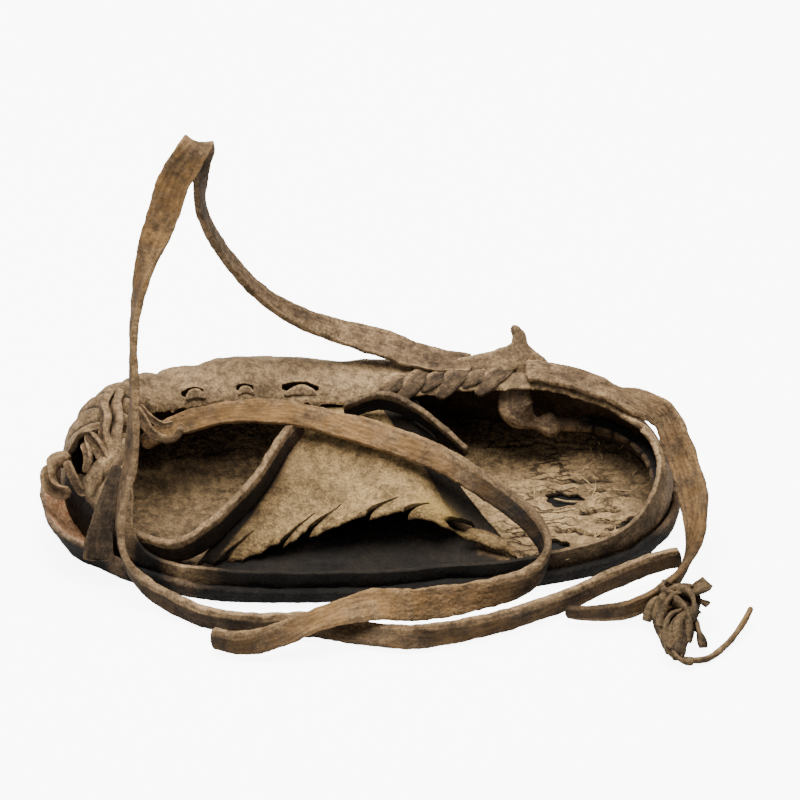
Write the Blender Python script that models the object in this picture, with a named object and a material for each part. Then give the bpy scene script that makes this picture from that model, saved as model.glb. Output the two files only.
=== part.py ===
"""A gathered hide shoe: a thick sole tray, a hide wall drawn up round it and pleated at the toe,
a domed instep flap laced to the wall's rolled rim, and long leather thongs.

Sizes are in millimetres and become metres when a mesh is made. The toe points to -X, the shoe's
right side is +Y, +Z is up, and the sole rests on Z = 0.
"""

import math

import bmesh
import bpy
import numpy as np

MM = 0.001

# Driving sizes
GAP = 0.3
SOLE_THICK = 4.0
LIP_THICK = 3.2
WALL_THICK = 2.2
WALL_LIFT = 0.15
INSOLE_THICK = 2.4
INSOLE_LIFT = 0.15
INSOLE_EDGE = -(WALL_THICK / 2 + GAP + 0.2)
FLAP_THICK = 2.2
THONG_THICK = 2.8

# The sole's underside: flat at heel and forefoot, lifted at the waist and at the toe
ARCH_START, ARCH_END, ARCH_LIFT = 2.0, 66.0, 1.2
SPRING_START, SPRING_END, SPRING_LIFT = -74.0, -116.0, 4.0

# The last, one row for each section round the foot, from the heel by the right side to the toe.
# x and y: where the wall stands on the sole. wall: the hide's height from there to the rim.
# flare and curl: its slope outward at the sole and inward at the rim, in degrees.
# lip, lean and reach: height and outward slope of the sole's turned-up edge, and its distance from
# the wall. facets: how many to the next row.
LAST_COLUMNS = ("x", "y", "wall", "flare", "curl", "lip", "lean", "reach", "facets")
LAST = {
    "heel back": (114.5, 0, 27, 6, 40, 6, 0, 0, 5),
    "heel right": (101, 31, 42, 8, 100, 6, 0, 0, 5),
    "seat right": (74, 45, 52, 8, 114, 6, 0, 0, 12),
    "waist right": (38, 49, 57, 4, 126, 6, 0, 0, 6),
    "instep right": (-4, 50, 66, 4, 148, 6, 0, 0, 6),
    "ball right": (-50, 49, 68, 5, 150, 6, 0, 0, 6),
    "toe right": (-85, 38, 62, 8, 146, 8, 0, 0, 12),
    "toe cap right": (-103, 20, 56, 10, 140, 9, 4, 0, 12),
    "toe tip": (-109, -2, 51, 10, 136, 11, 12, 2, 12),
    "toe cap left": (-101, -22, 44, 9, 124, 13, 20, 5, 8),
    "toe corner left": (-92, -32, 32, 7, 90, 9, 10, 2, 6),
    "toe left": (-80, -40, 10.5, 5, 20, 5, 0, 0, 5),
    "ball left": (-52, -49, 9, 5, 14, 4, 0, 0, 6),
    "instep left": (-8, -49.5, 8, 5, 10, 3, 0, 0, 6),
    "waist left": (38, -45, 7, 5, 10, 3, 0, 0, 6),
    "seat left": (74, -38, 9, 5, 12, 3, 0, 0, 6),
    "heel left": (101, -26, 13, 8, 22, 5, 0, 0, 5),
}
ROW = {name: index for index, name in enumerate(LAST)}
SECTIONS = {column: np.array([row[k] for row in LAST.values()], float) for k, column in enumerate(LAST_COLUMNS)}

# How late the wall bends: 1 is an even arc, 2 a straight foot with the curl near the rim
CURL_LATE = 2.0
WALL_LEVELS = np.array([0, 0.16, 0.34, 0.52, 0.66, 0.78, 0.88, 0.94, 1.0])

# The right rim's ear, where the lacing ends and the leather stands up in a point
EAR_AT = ROW["seat right"] + 0.52
EAR_SPAN = 0.1
EAR_RISE = 1.0
EAR_CURL = 30.0

# The gathers at the toe, one row for each fold. at: its place from the toe right section, in
# sections. span: its half width, in sections. rise: its height at the rim.
PLEAT_COLUMNS = ("at", "span", "rise")
PLEATS = (
    (0.10, 0.24, 1.8),
    (0.58, 0.24, 2.8),
    (1.06, 0.24, 3.2),
    (1.54, 0.24, 3.0),
    (2.02, 0.24, 3.4),
    (2.50, 0.24, 3.0),
    (2.98, 0.24, 3.2),
    (3.46, 0.24, 2.6),
    (3.94, 0.24, 1.8),
)
PLEAT_START = 0.3

# The slits along the rolled right rim, one row each: the first and last facet and the wall's level
RIM_SLITS = ((30, 31, 6), (33, 34, 6), (37, 38, 6))
# The mouth between two gathers at the toe tip
TOE_MOUTH = ((65, 71, 2), (64, 72, 3), (65, 71, 4))

# The instep flap, one row for each section from its toe edge to its throat edge.
# share: place between those edges. crest and left: height and side place of its top and free edge.
FLAP_COLUMNS = ("share", "crest_y", "crest_z", "left_y", "left_z")
FLAP = (
    (0.00, -5, 29.0, -38, 9.6),
    (0.22, -3, 32.5, -36, 10.6),
    (0.45, -2, 34.0, -30, 18.0),
    (0.60, -3, 33.5, -27.5, 22.5),
    (0.74, -4, 31.0, -27.5, 22.5),
    (0.88, -6, 27.0, -31, 14.5),
    (1.00, -8, 23.0, -36, 9.6),
)
FLAP_TOE_RIGHT, FLAP_TOE_LEFT, FLAP_TOE_BOW = -20.0, -60.0, 3.0
FLAP_THROAT_RIGHT, FLAP_THROAT_LEFT, FLAP_THROAT_BOW = 14.0, 58.0, 1.7
FLAP_TUCK, FLAP_TUCK_DROP = 7.0, 2.5
FLAP_ACROSS = 12
FLAP_SLITS = (0.10, 0.31, 0.40, 0.59, 0.70)
FLAP_SLIT_WIDE = 0.012
FLAP_SLIT_ROWS = 2
FLAP_SLANT = 7.0

# The lacing on the right rim: bars from a running thong along the rim
LACE_START, LACE_END = ROW["waist right"] - 0.16, ROW["waist right"] + 0.64
LACE_BARS = 5
LACE_LEVELS = np.array([0.74, 0.82, 0.90, 0.97])
LACE_SLANT = -0.16
LACE_THICK = 2.0

# The drawstring inside the heel, one row for each place: where it is, and its radius
DRAW_COLUMNS = ("x", "y", "z", "radius")
DRAW = (
    (61.0, 34.2, 38.3, 1.8),
    (54.5, 26.0, 36.0, 2.6),
    (54.0, 21.5, 31.5, 3.6),
    (59.5, 20.5, 26.5, 3.8),
    (67.5, 23.0, 23.5, 3.0),
    (77.0, 27.5, 21.5, 2.5),
    (87.0, 29.0, 20.5, 3.3),
    (95.0, 25.5, 20.5, 3.2),
    (102.0, 19.0, 20.5, 2.6),
    (107.5, 10.5, 20.5, 2.9),
    (110.0, 1.0, 19.5, 2.5),
    (110.4, -7.2, 15.8, 1.8),
)
DRAW_SIDES = 8

# Holes worn through the insole: centre, half length, half width
WORN_HOLES = ((76.0, 2.0, 7.0, 4.2), (72.0, -26.0, 6.0, 4.0))
WORN_HOLE_CORNERS = 7

# The thongs' routes, chosen by hand: a place, and the way that the thong's width lies there
TIE_WIDE, LOOP_WIDE, CROSS_WIDE, SIDE_WIDE, HEEL_WIDE = 9.2, 10.5, 8.5, 9.2, 8.5
ROUTE_COLUMNS = ("x", "y", "z", "width_x", "width_y", "width_z")
TIE_ROUTE = (
    (38, 33, 50.0, 0.1, 1, 0),
    (22, 33.5, 51.0, 0.1, 1, 0.1),
    (8, 35.5, 54, 0.1, 1, 0.3),
    (-10, 36.5, 59.5, 0.1, 0.9, 0.3),
    (-30, 33.5, 72.5, 0, 1, 0.25),
    (-47, 27, 97, 0, 1, 0.25),
    (-58, 20.5, 126, 0.1, 1, 0.15),
    (-58.5, 18.5, 147, 0.6, 0.8, -0.1),
    (-58.5, 18, 156, 0.95, 0.3, -0.2),
    (-59.3, 16, 161.5, 1, 0.1, -0.3),
    (-61, 13, 162.3, 1, 0, -0.35),
    (-63.5, 11, 159, 0.95, -0.15, -0.4),
    (-67.8, 9.5, 151, 0.9, -0.25, -0.4),
    (-72.5, 6.5, 136, 0.9, -0.3, -0.3),
    (-77.5, 2, 123.5, 0.75, -0.6, 0),
    (-81, -3, 111, 0.4, -0.9, 0.2),
    (-83.5, -10, 93.5, 0.1, -0.95, 0.35),
    (-83.5, -19.5, 69, 0.15, -0.9, 0.4),
    (-84.5, -29, 50, 0.4, -0.85, 0.3),
    (-88.5, -39.5, 32.5, 0.15, -0.85, 0.5),
    (-87.5, -47, 19.5, 0, -0.7, 0.7),
    (-81, -51.5, 9.5, 0, -0.3, 1),
    (-72, -57.5, 6.2, 0, 0, 1),
    (-57, -67, 5.2, 0, 0, 1),
    (-36, -71, 5.0, 0, 0, 1),
    (-18, -71.5, 5.0, 0, 0.6, 0.8),
    (0, -75, 4.0, 0, 1, 0.4),
    (18, -78, 4.6, 0, 0.8, 0.7),
    (34, -76, 5.1, 0, 0.2, 1),
    (54, -69, 5.4, 0, 0, 1),
    (77, -58, 6.2, 0, 0, 1),
    (92, -49, 7.6, 0, 0, 1),
    (104, -43, 9.2, 0, 0, 1),
    (112, -40, 10.2, 0, 0, 1),
    (118.5, -38.5, 11.0, 0, 0, 1),
)
LOOP_ROUTE = (
    (-81.5, 2.8, 31.6, 0.2, 0.8, 0.6),
    (-68, 6.2, 37.6, 0, 0.8, 0.5),
    (-50, 8.4, 41.6, 0, 0.9, 0.5),
    (-30, 7, 43.5, 0, 0.9, 0.5),
    (-10, 1, 43, 0, 0.9, 0.5),
    (8, -5, 41, 0.1, 0.9, 0.5),
    (30, -12, 36, 0.2, 0.8, 0.6),
    (50, -22, 28, 0.3, 0.7, 0.7),
    (64, -34, 23, 0.4, 0.3, 0.9),
    (69, -45, 18, 0.2, 0, 1),
    (62, -54, 12, 0.1, 0.2, 1),
    (42, -60, 9.2, 0, 0.5, 0.85),
    (22, -65, 9.4, 0, 0.6, 0.8),
    (5, -69.5, 13.0, 0, 0.8, 0.5),
    (-13, -76.5, 12.6, 0, 1, 0.2),
    (-30, -82.5, 8.6, 0, 0.7, 0.7),
    (-44, -84, 6.4, 0, 0.2, 1),
    (-55, -80, 5.8, 0, 0, 1),
)
CROSS_ROUTE = (
    (-86, -29, 13.2, 0, -0.05, 1),
    (-76, -35.5, 13, 0, -0.1, 1),
    (-66, -38, 14, 0, -0.15, 1),
    (-56, -35.5, 18.8, 0, -0.15, 1),
    (-47, -28.5, 23.2, 0, -0.15, 1),
    (-38, -20, 28.8, 0, -0.1, 1),
    (-33, -10.5, 34.2, 0.1, 0.3, 0.95),
    (-30, -3, 36.2, 0.2, 0.9, 0.35),
    (-27, 1.2, 36.5, 0.3, 1, 0.2),
)
SIDE_ROUTE = (
    (-6, 9.0, 42.5, 0.1, -0.3, 1),
    (8, 12, 45, 0, -0.3, 1),
    (20, 9, 42, 0, -0.4, 1),
    (31, 2, 37.5, 0, -0.5, 1),
    (40, -4, 32.5, 0, -0.6, 0.9),
)
# The heel thong lies on the rim as far as the heel's right, then stands off round the heel's back
HEEL_COLUMNS = ("at", "lift")
HEEL_ON_RIM = ((2.3, 1.0), (2.1, 1.0), (1.9, 1.0), (1.65, 1.0), (1.4, 1.0), (1.15, 1.2), (0.9, 1.6))
HEEL_LEVEL = 0.9
HEEL_ROUTE = (
    (112.5, 14, 37, -0.5, -0.35, -0.8),
    (120, 4, 31.5, -0.7, -0.2, -0.7),
    (124.5, -6, 26.5, -0.85, -0.1, -0.45),
    (127.5, -20, 21, -0.85, 0, -0.5),
    (125.5, -37, 15.4, -0.6, 0, -0.8),
    (116, -53, 9.6, -0.2, 0, -1),
    (100, -63, 5.8, 0, 0, -1),
    (86, -65, 5.2, 0, 0, -1),
    (76, -64, 5.1, 0, 0, -1),
)
STRAND_ROUTE = ((119.6, -89, 2.0), (127.5, -90, 1.6), (134, -84, 1.6), (139, -75, 2.2), (144, -66, 4.0))
STRAND_RADIUS = 1.2

# The frayed knot at the heel: its body, one row for each section, and its loose strips
TASSEL_COLUMNS = ("x", "y", "z", "radius")
TASSEL_BODY = (
    (121, -54, 8.0, 1.4),
    (120, -58, 8.0, 4.2),
    (118.5, -63, 7.6, 6.6),
    (117, -70, 7.2, 6.4),
    (117, -79, 7.0, 6.4),
    (117, -86, 5.4, 4.6),
    (117.5, -90, 3.6, 1.6),
)
TASSEL_SIDES = 9
TASSEL_STRIPS = (
    ((119, -60, 9), (124, -63, 11), (129, -66, 10)),
    ((114, -58, 8), (109, -62, 7), (106, -68, 4)),
    ((120, -70, 8), (125, -76, 7), (127, -83, 3.5)),
    ((115, -68, 10), (112, -74, 12), (111, -80, 11)),
)
TASSEL_STRIP_WIDE, TASSEL_STRIP_THICK = 3.6, 1.8

# Colours of the dried hide, with their roughness
HIDE_COLOURS = {
    "sole_hide": ((0.120, 0.075, 0.045), 0.75),
    "wall_hide": ((0.205, 0.150, 0.100), 0.80),
    "flap_hide": ((0.250, 0.185, 0.115), 0.82),
    "insole_hide": ((0.180, 0.135, 0.090), 0.88),
    "thong_leather": ((0.170, 0.105, 0.060), 0.62),
    "frayed_thong": ((0.210, 0.160, 0.095), 0.85),
}


def clear_scene():
    for old in list(bpy.data.objects):
        bpy.data.objects.remove(old)


def hide_material(name):
    colour, roughness = HIDE_COLOURS[name]
    material = bpy.data.materials.get(name) or bpy.data.materials.new(name)
    material.use_nodes = True
    shader = material.node_tree.nodes["Principled BSDF"]
    shader.inputs["Base Color"].default_value = (*colour, 1)
    shader.inputs["Roughness"].default_value = roughness
    shader.inputs["Metallic"].default_value = 0
    return material


def add_piece(name, points, faces, material):
    """A closed mesh object from points in millimetres, shaded smooth except at its edges."""
    shape = bmesh.new()
    corners = [shape.verts.new(np.asarray(point, float) * MM) for point in points]
    for face in faces:
        shape.faces.new([corners[k] for k in face])
    bmesh.ops.recalc_face_normals(shape, faces=shape.faces)
    mesh = bpy.data.meshes.new(name)
    shape.to_mesh(mesh)
    shape.free()
    mesh.shade_smooth()
    mesh.set_sharp_from_angle(angle=math.radians(50))
    mesh.materials.append(hide_material(material))
    piece = bpy.data.objects.new(name, mesh)
    bpy.context.scene.collection.objects.link(piece)
    return piece


def smooth_step(share):
    share = np.clip(share, 0, 1)
    return share * share * (3 - 2 * share)


def cubic(before, start, end, after, share):
    """The curve between start and end that leaves and arrives in line with its neighbours."""
    share = np.asarray(share)[..., None]
    lift = 2 * start + (end - before) * share
    square = (2 * before - 5 * start + 4 * end - after) * share**2
    return 0.5 * (lift + square + (3 * start - before - 3 * end + after) * share**3)


def closed_curve(values, at):
    """Values on a closed curve through the rows, at places counted in rows."""
    count = len(values)
    row = np.floor(at).astype(int)
    near = [values[(row + step) % count] for step in (-1, 0, 1, 2)]
    return cubic(*near, at - row)


def open_curve(values, at):
    """Values on an open curve through the rows, at places counted in rows."""
    ends = np.concatenate([[2 * values[0] - values[1]], values, [2 * values[-1] - values[-2]]])
    row = np.clip(np.floor(at).astype(int), 0, len(values) - 2)
    return cubic(ends[row], ends[row + 1], ends[row + 2], ends[row + 3], at - row)


def unit(vectors):
    return vectors / np.linalg.norm(vectors, axis=-1, keepdims=True)


def ground(x):
    """How far the sole's underside is off the floor."""
    arch = ARCH_LIFT * np.sin(np.pi * np.clip((x - ARCH_START) / (ARCH_END - ARCH_START), 0, 1)) ** 2
    spring = SPRING_LIFT * smooth_step((x - SPRING_START) / (SPRING_END - SPRING_START))
    return arch + spring


def centre_last():
    """Moves the last so that the sole's turned-up edge is centred on the origin."""
    at = np.arange(0, len(LAST), 0.02)
    row = section(at)
    slope = np.radians(row["flare"] + row["lean"])
    edge = WALL_THICK / 2 + GAP + row["reach"] + LIP_THICK + row["lip"] * np.sin(slope)
    for k, axis in enumerate("xy"):
        place = row[axis] + edge * row["out"][:, k]
        SECTIONS[axis] -= (place.min() + place.max()) / 2


def section(at):
    """The last's columns at places round the foot, and the way out of the shoe there."""
    at = np.asarray(at, float)
    columns = closed_curve(np.stack([SECTIONS[c] for c in LAST_COLUMNS[:-1]], axis=-1), at)
    step = 0.01
    ahead = closed_curve(np.stack([SECTIONS["x"], SECTIONS["y"]], axis=-1), at + step)
    behind = closed_curve(np.stack([SECTIONS["x"], SECTIONS["y"]], axis=-1), at - step)
    along = unit(ahead - behind)
    found = dict(zip(LAST_COLUMNS, np.moveaxis(columns, -1, 0)))
    ear = np.exp(-(((at - EAR_AT) / EAR_SPAN) ** 2))
    found["wall"] = found["wall"] + EAR_RISE * ear
    found["curl"] = found["curl"] * (1 - ear) + EAR_CURL * ear
    found["out"] = np.stack([along[..., 1], -along[..., 0]], axis=-1)
    return found


def pleat_rise(at):
    """The height of the toe's gathers at places round the foot."""
    total = np.zeros_like(at)
    for place, span, rise in PLEATS:
        away = np.clip(np.abs(at - ROW["toe right"] - place) / span, 0, 1)
        total += rise * (0.5 + 0.5 * np.cos(np.pi * away))
    return total


def wall_points(at, level, offset):
    """Places on the hide wall: round the foot, up the wall from 0 to 1, and out from its middle."""
    at, level = np.broadcast_arrays(np.asarray(at, float), np.asarray(level, float))
    row = section(at)
    flare, curl = np.radians(row["flare"]), np.radians(row["curl"])
    part = np.linspace(0, 1, 25)
    slope = -flare[..., None] + (flare + curl)[..., None] * (level[..., None] * part) ** CURL_LATE
    weight = np.full(25, 1 / 24)
    weight[[0, -1]] /= 2
    inward = row["wall"] * level * (np.sin(slope) @ weight)
    upward = row["wall"] * level * (np.cos(slope) @ weight)
    end = slope[..., -1]
    offset = offset + pleat_rise(at) * smooth_step((level - PLEAT_START) / (1 - PLEAT_START))
    away = offset * np.cos(end) - inward
    foot = ground(row["x"]) + SOLE_THICK + GAP + WALL_LIFT
    x = row["x"] + away * row["out"][..., 0]
    y = row["y"] + away * row["out"][..., 1]
    return np.stack([x, y, foot + upward + offset * np.sin(end)], axis=-1)


def round_the_foot():
    """Places round the foot, as many between two sections as the table says."""
    places = [row + np.arange(count) / count for row, count in enumerate(SECTIONS["facets"].astype(int))]
    return np.concatenate(places)


def outline(at, out, height):
    """A ring round the foot, out from the wall's middle, at a height over the sole's underside."""
    row = section(at)
    x = row["x"] + out * row["out"][..., 0]
    y = row["y"] + out * row["out"][..., 1]
    return np.stack([x, y, ground(row["x"]) + height], axis=-1)


def shrunk(ring, share, height):
    """The ring drawn in towards the sole's middle, at a height over the underside."""
    x, y = ring[:, 0] * share, ring[:, 1] * share
    return np.stack([x, y, ground(x) + height], axis=-1)


def ring_piece(name, rings, material):
    """A closed piece from rings of equal length, the first and the last drawn in to one point."""
    return sweep(name, rings[0][0], np.stack(rings[1:-1]), rings[-1][0], material)


def slab(name, low, high, cells, material, closed=False):
    """A closed sheet: the named cells of a grid, on two sides, joined round every free edge."""
    columns, levels = low.shape[:2]
    numbers, points = {}, []

    def corner(side, i, j):
        key = (side, i % columns if closed else i, j)
        if key not in numbers:
            numbers[key] = len(points)
            points.append((high if side else low)[key[1], j])
        return numbers[key]

    faces, edges = [], {}
    for i, j in cells:
        loop = ((i, j), (i + 1, j), (i + 1, j + 1), (i, j + 1))
        faces.append([corner(1, *c) for c in loop])
        faces.append([corner(0, *c) for c in reversed(loop)])
        for a, b in zip(loop, loop[1:] + loop[:1]):
            edges[corner(1, *a), corner(1, *b)] = (corner(0, *a), corner(0, *b))
    for (a, b), (under_a, under_b) in edges.items():
        if (b, a) not in edges:
            faces.append((b, a, under_a, under_b))
    return add_piece(name, points, faces, material)


def sweep(name, first, rings, last, material):
    """A closed piece from rings of points, each end closed to a point."""
    count = rings.shape[1]
    points = [*rings.reshape(-1, 3), first, last]
    top = (len(rings) - 1) * count
    faces = []
    for k in range(count):
        after = (k + 1) % count
        for low in range(0, top, count):
            faces.append((low + k, low + after, low + count + after, low + count + k))
        faces.append((after, k, len(points) - 2))
        faces.append((top + k, top + after, len(points) - 1))
    return add_piece(name, points, faces, material)


def ribbon(name, route, wide, thick, material, steps=2, tip=0.7):
    """A flat thong along a smooth line through its route, with its ends cut narrower."""
    route = np.asarray(route, float)
    at = np.linspace(0, len(route) - 1, (len(route) - 1) * steps + 1)
    line = open_curve(route, at)
    middles = line[:, :3]
    along = unit(np.gradient(middles, axis=0))
    across = line[:, 3:] - np.sum(line[:, 3:] * along, axis=1, keepdims=True) * along
    across = unit(across)
    face = np.cross(along, across)
    half = np.full(len(at), wide / 2)
    half[[0, -1]] *= tip
    corners = ((1, 1), (-1, 1), (-1, -1), (1, -1))
    rings = [middles + a * half[:, None] * across + b * thick / 2 * face for a, b in corners]
    return sweep(name, middles[0], np.stack(rings, axis=1), middles[-1], material)


def tube(name, middles, radius, sides, material):
    """A round cord along a line, with a radius at each place."""
    along = unit(np.gradient(middles, axis=0))
    across = unit(np.cross(along, (0.0, 0.0, 1.0)))
    upward = np.cross(across, along)
    turns = 2 * np.pi * np.arange(sides) / sides
    rings = [
        middles + radius[:, None] * (np.cos(turn) * across + np.sin(turn) * upward) for turn in turns
    ]
    return sweep(name, middles[0], np.stack(rings, axis=1), middles[-1], material)


def build_sole():
    """The thick hide tray: a plate with its edge turned up outside the wall."""
    at = round_the_foot()
    row = section(at)
    inner = WALL_THICK / 2 + GAP + row["reach"]
    outer = inner + LIP_THICK
    slope = np.radians(row["flare"] + row["lean"])[:, None]
    out = np.concatenate([row["out"], np.zeros((len(at), 1))], axis=1)
    rise = row["lip"][:, None] * (np.sin(slope) * out + np.cos(slope) * np.array([0, 0, 1.0]))
    inner_foot = outline(at, inner, SOLE_THICK)
    outer_foot = outline(at, outer, SOLE_THICK * 0.6)
    inner_top = inner_foot + rise
    outer_top = outer_foot + rise + np.array([0, 0, SOLE_THICK * 0.4 - 0.8])
    tread = outline(at, outer - 1.8, 0)
    under = [shrunk(tread, share, 0) for share in (0, 0.4, 0.75)]
    plate_edge = outline(at, INSOLE_EDGE, SOLE_THICK)
    plate = [shrunk(plate_edge, share, SOLE_THICK) for share in (0.75, 0.4, 0)]
    rings = [*under, tread, outer_foot, outer_top, inner_top, inner_foot, plate_edge, *plate]
    return ring_piece("sole", rings, "sole_hide")


def build_insole():
    """The inner sole, with the holes that wear has opened at the heel."""
    at = round_the_foot()[::2]
    base = SOLE_THICK + GAP + INSOLE_LIFT
    low = outline(at, INSOLE_EDGE, base)
    high = outline(at, INSOLE_EDGE - 0.4, base + INSOLE_THICK)
    under = [shrunk(low, share, base) for share in (0, 0.4, 0.75)]
    top = [shrunk(high, share, base + INSOLE_THICK) for share in (0.75, 0.4, 0)]
    insole = ring_piece("insole", [*under, low, high, *top], "insole_hide")
    for number, (x, y, half_long, half_wide) in enumerate(WORN_HOLES):
        turns = 2 * np.pi * np.arange(WORN_HOLE_CORNERS) / WORN_HOLE_CORNERS
        ragged = 1 + 0.18 * np.cos(3 * turns + number)
        rim = np.stack([x + half_long * ragged * np.cos(turns), y + half_wide * ragged * np.sin(turns)], axis=1)
        middle = np.tile((x, y), (len(rim), 1))
        ends = ((middle, 1.0), (rim, 1.0), (rim, 12.0), (middle, 12.0))
        rings = [np.column_stack([ring, np.full(len(rim), height)]) for ring, height in ends]
        cutter = ring_piece(f"worn_hole_cutter_{number}", rings, "insole_hide")
        cutter.hide_render = True
        cutter.display_type = "WIRE"
        cut = insole.modifiers.new(f"worn_hole_{number}", "BOOLEAN")
        cut.object = cutter
        cut.operation = "DIFFERENCE"
    return insole


def build_upper():
    """The hide wall, open at the collar and underneath, pleated at the toe and slit along the rim."""
    at = round_the_foot()
    place, level = np.meshgrid(at, WALL_LEVELS, indexing="ij")
    low = wall_points(place, level, -WALL_THICK / 2)
    high = wall_points(place, level, WALL_THICK / 2)
    open_cells = {(i, j) for first, last, j in (*RIM_SLITS, *TOE_MOUTH) for i in range(first, last)}
    cells = [(i, j) for i in range(len(at)) for j in range(len(WALL_LEVELS) - 1) if (i, j) not in open_cells]
    return slab("upper", low, high, cells, "wall_hide", closed=True)


def rim_seat(x):
    """Where the flap passes under the rolled right rim: how far right, and how high."""
    at = np.linspace(ROW["seat right"], ROW["toe right"], 200)
    edge = [wall_points(at, 1.0, side * WALL_THICK / 2) for side in (-1, 1)]
    lowest = np.minimum(edge[0][:, 2], edge[1][:, 2])
    order = np.argsort(edge[0][:, 0])
    y = np.interp(x, edge[0][order, 0], edge[0][order, 1])
    z = np.interp(x, edge[0][order, 0], lowest[order])
    return y, z - GAP - FLAP_THICK / 2


def flap_points(share, across, offset):
    """Places on the instep flap: from its toe edge to its throat edge, from its right edge to its
    free left edge, and up from its middle."""
    share, across = np.broadcast_arrays(np.asarray(share, float), np.asarray(across, float))
    slant = FLAP_SLANT * smooth_step((across - 0.7) / 0.3) * np.sin(np.pi * share)
    toe = FLAP_TOE_RIGHT + (FLAP_TOE_LEFT - FLAP_TOE_RIGHT) * across**FLAP_TOE_BOW
    throat = FLAP_THROAT_RIGHT + (FLAP_THROAT_LEFT - FLAP_THROAT_RIGHT) * across**FLAP_THROAT_BOW
    x = toe + (throat - toe) * share - slant
    table = np.array(FLAP)
    columns = open_curve(table[:, 1:], np.interp(share, table[:, 0], np.arange(len(table))))
    crest_y, crest_z, left_y, left_z = np.moveaxis(columns, -1, 0)
    seat_y, seat_z = rim_seat(x)
    nodes = np.stack(
        [
            np.stack([seat_y + FLAP_TUCK, seat_z - FLAP_TUCK_DROP], axis=-1),
            np.stack([seat_y, seat_z], axis=-1),
            np.stack([crest_y, crest_z], axis=-1),
            np.stack([left_y, left_z], axis=-1),
        ]
    )
    spot = across * 3
    row = np.clip(np.floor(spot).astype(int), 0, 2)
    ends = np.concatenate([[2 * nodes[0] - nodes[1]], nodes, [2 * nodes[3] - nodes[2]]])
    pick = [np.take_along_axis(ends, (row + k)[None, ..., None], axis=0)[0] for k in range(4)]
    y, z = np.moveaxis(cubic(*pick, spot - row), -1, 0)
    return np.stack([x, y, z + offset], axis=-1)


def build_flap():
    """The domed instep flap, its free edge slit for a lacing that is gone."""
    stops = [0.0]
    for slit in (*FLAP_SLITS, 1.0):
        start = stops[-1]
        end = slit - FLAP_SLIT_WIDE / 2 if slit < 1 else 1.0
        steps = max(1, round((end - start) / 0.07))
        stops += [start + (end - start) * (k + 1) / steps for k in range(steps)]
        if slit < 1:
            stops.append(slit + FLAP_SLIT_WIDE / 2)
    across = np.linspace(0, 1, FLAP_ACROSS + 1)
    place, side = np.meshgrid(np.array(stops), across, indexing="ij")
    low = flap_points(place, side, -FLAP_THICK / 2)
    high = flap_points(place, side, FLAP_THICK / 2)
    cells = []
    for i in range(len(stops) - 1):
        narrow = stops[i + 1] - stops[i] < 1.5 * FLAP_SLIT_WIDE
        rows = FLAP_ACROSS - FLAP_SLIT_ROWS if narrow else FLAP_ACROSS
        cells += [(i, j) for j in range(rows)]
    return slab("instep_flap", low, high, cells, "flap_hide")


def build_lacing():
    """The thong whipped over the right rim: a running thong with slanting bars."""
    columns = np.linspace(LACE_START, LACE_END, 2 * LACE_BARS)
    place, level = np.meshgrid(columns, LACE_LEVELS, indexing="ij")
    place = place + LACE_SLANT * (LACE_LEVELS[-2] - level) / (LACE_LEVELS[-2] - LACE_LEVELS[0])
    inner = WALL_THICK / 2 + GAP + 0.3
    low = wall_points(place, level, inner)
    high = wall_points(place, level, inner + LACE_THICK)
    running = len(LACE_LEVELS) - 2
    cells = [(i, running) for i in range(len(columns) - 1)]
    cells += [(i, j) for i in range(0, len(columns) - 1, 2) for j in range(running)]
    return slab("rim_lacing", low, high, cells, "thong_leather")


def build_drawstring():
    """The knotted thong that draws the heel in, from the right rim along the inside of its wall."""
    table = np.array(DRAW)
    line = open_curve(table, np.linspace(0, len(table) - 1, 2 * len(table) - 1))
    return tube("heel_drawstring", line[:, :3], line[:, 3], DRAW_SIDES, "thong_leather")


def heel_thong_route():
    """On the rim first, its width along the wall, and then by hand round the heel's back."""
    rows = []
    for place, lift in HEEL_ON_RIM:
        lift += WALL_THICK / 2 + GAP + THONG_THICK / 2
        middle = wall_points(place, HEEL_LEVEL, lift)
        up_the_wall = wall_points(place, HEEL_LEVEL + 0.05, lift) - wall_points(place, HEEL_LEVEL - 0.05, lift)
        rows.append((*middle, *unit(up_the_wall)))
    return rows + list(HEEL_ROUTE)


def build_thongs():
    """The free thongs, each a flat strip of leather that the drying has left stiff."""
    routes = {
        "tie_thong": (TIE_ROUTE, TIE_WIDE, 2),
        "loop_thong": (LOOP_ROUTE, LOOP_WIDE, 2),
        "cross_thong": (CROSS_ROUTE, CROSS_WIDE, 2),
        "side_thong": (SIDE_ROUTE, SIDE_WIDE, 3),
        "heel_thong": (heel_thong_route(), HEEL_WIDE, 2),
    }
    for name, (route, wide, steps) in routes.items():
        ribbon(name, route, wide, THONG_THICK, "thong_leather", steps)


def build_tassel():
    """The frayed knot by the heel with its strips fused on, and the strand that trails from it."""
    table = np.array(TASSEL_BODY)
    at = np.linspace(0, len(table) - 1, 2 * len(table) - 1)
    body = open_curve(table, at)
    tassel = tube("heel_tassel", body[:, :3], np.maximum(body[:, 3], 0.8), TASSEL_SIDES, "frayed_thong")
    for number, strip in enumerate(TASSEL_STRIPS):
        route = [(*point, 0.2, 0.1, 1) for point in strip]
        lock = ribbon(f"tassel_strip_{number}", route, TASSEL_STRIP_WIDE, TASSEL_STRIP_THICK, "frayed_thong", 2, 0.4)
        lock.hide_render = True
        lock.display_type = "WIRE"
        join = tassel.modifiers.new(f"strip_{number}", "BOOLEAN")
        join.object = lock
        join.operation = "UNION"
    route = np.array(STRAND_ROUTE, float)
    line = open_curve(route, np.linspace(0, len(route) - 1, 3 * len(route) - 2))
    tube("tassel_strand", line, np.full(len(line), STRAND_RADIUS), 6, "frayed_thong")


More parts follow.
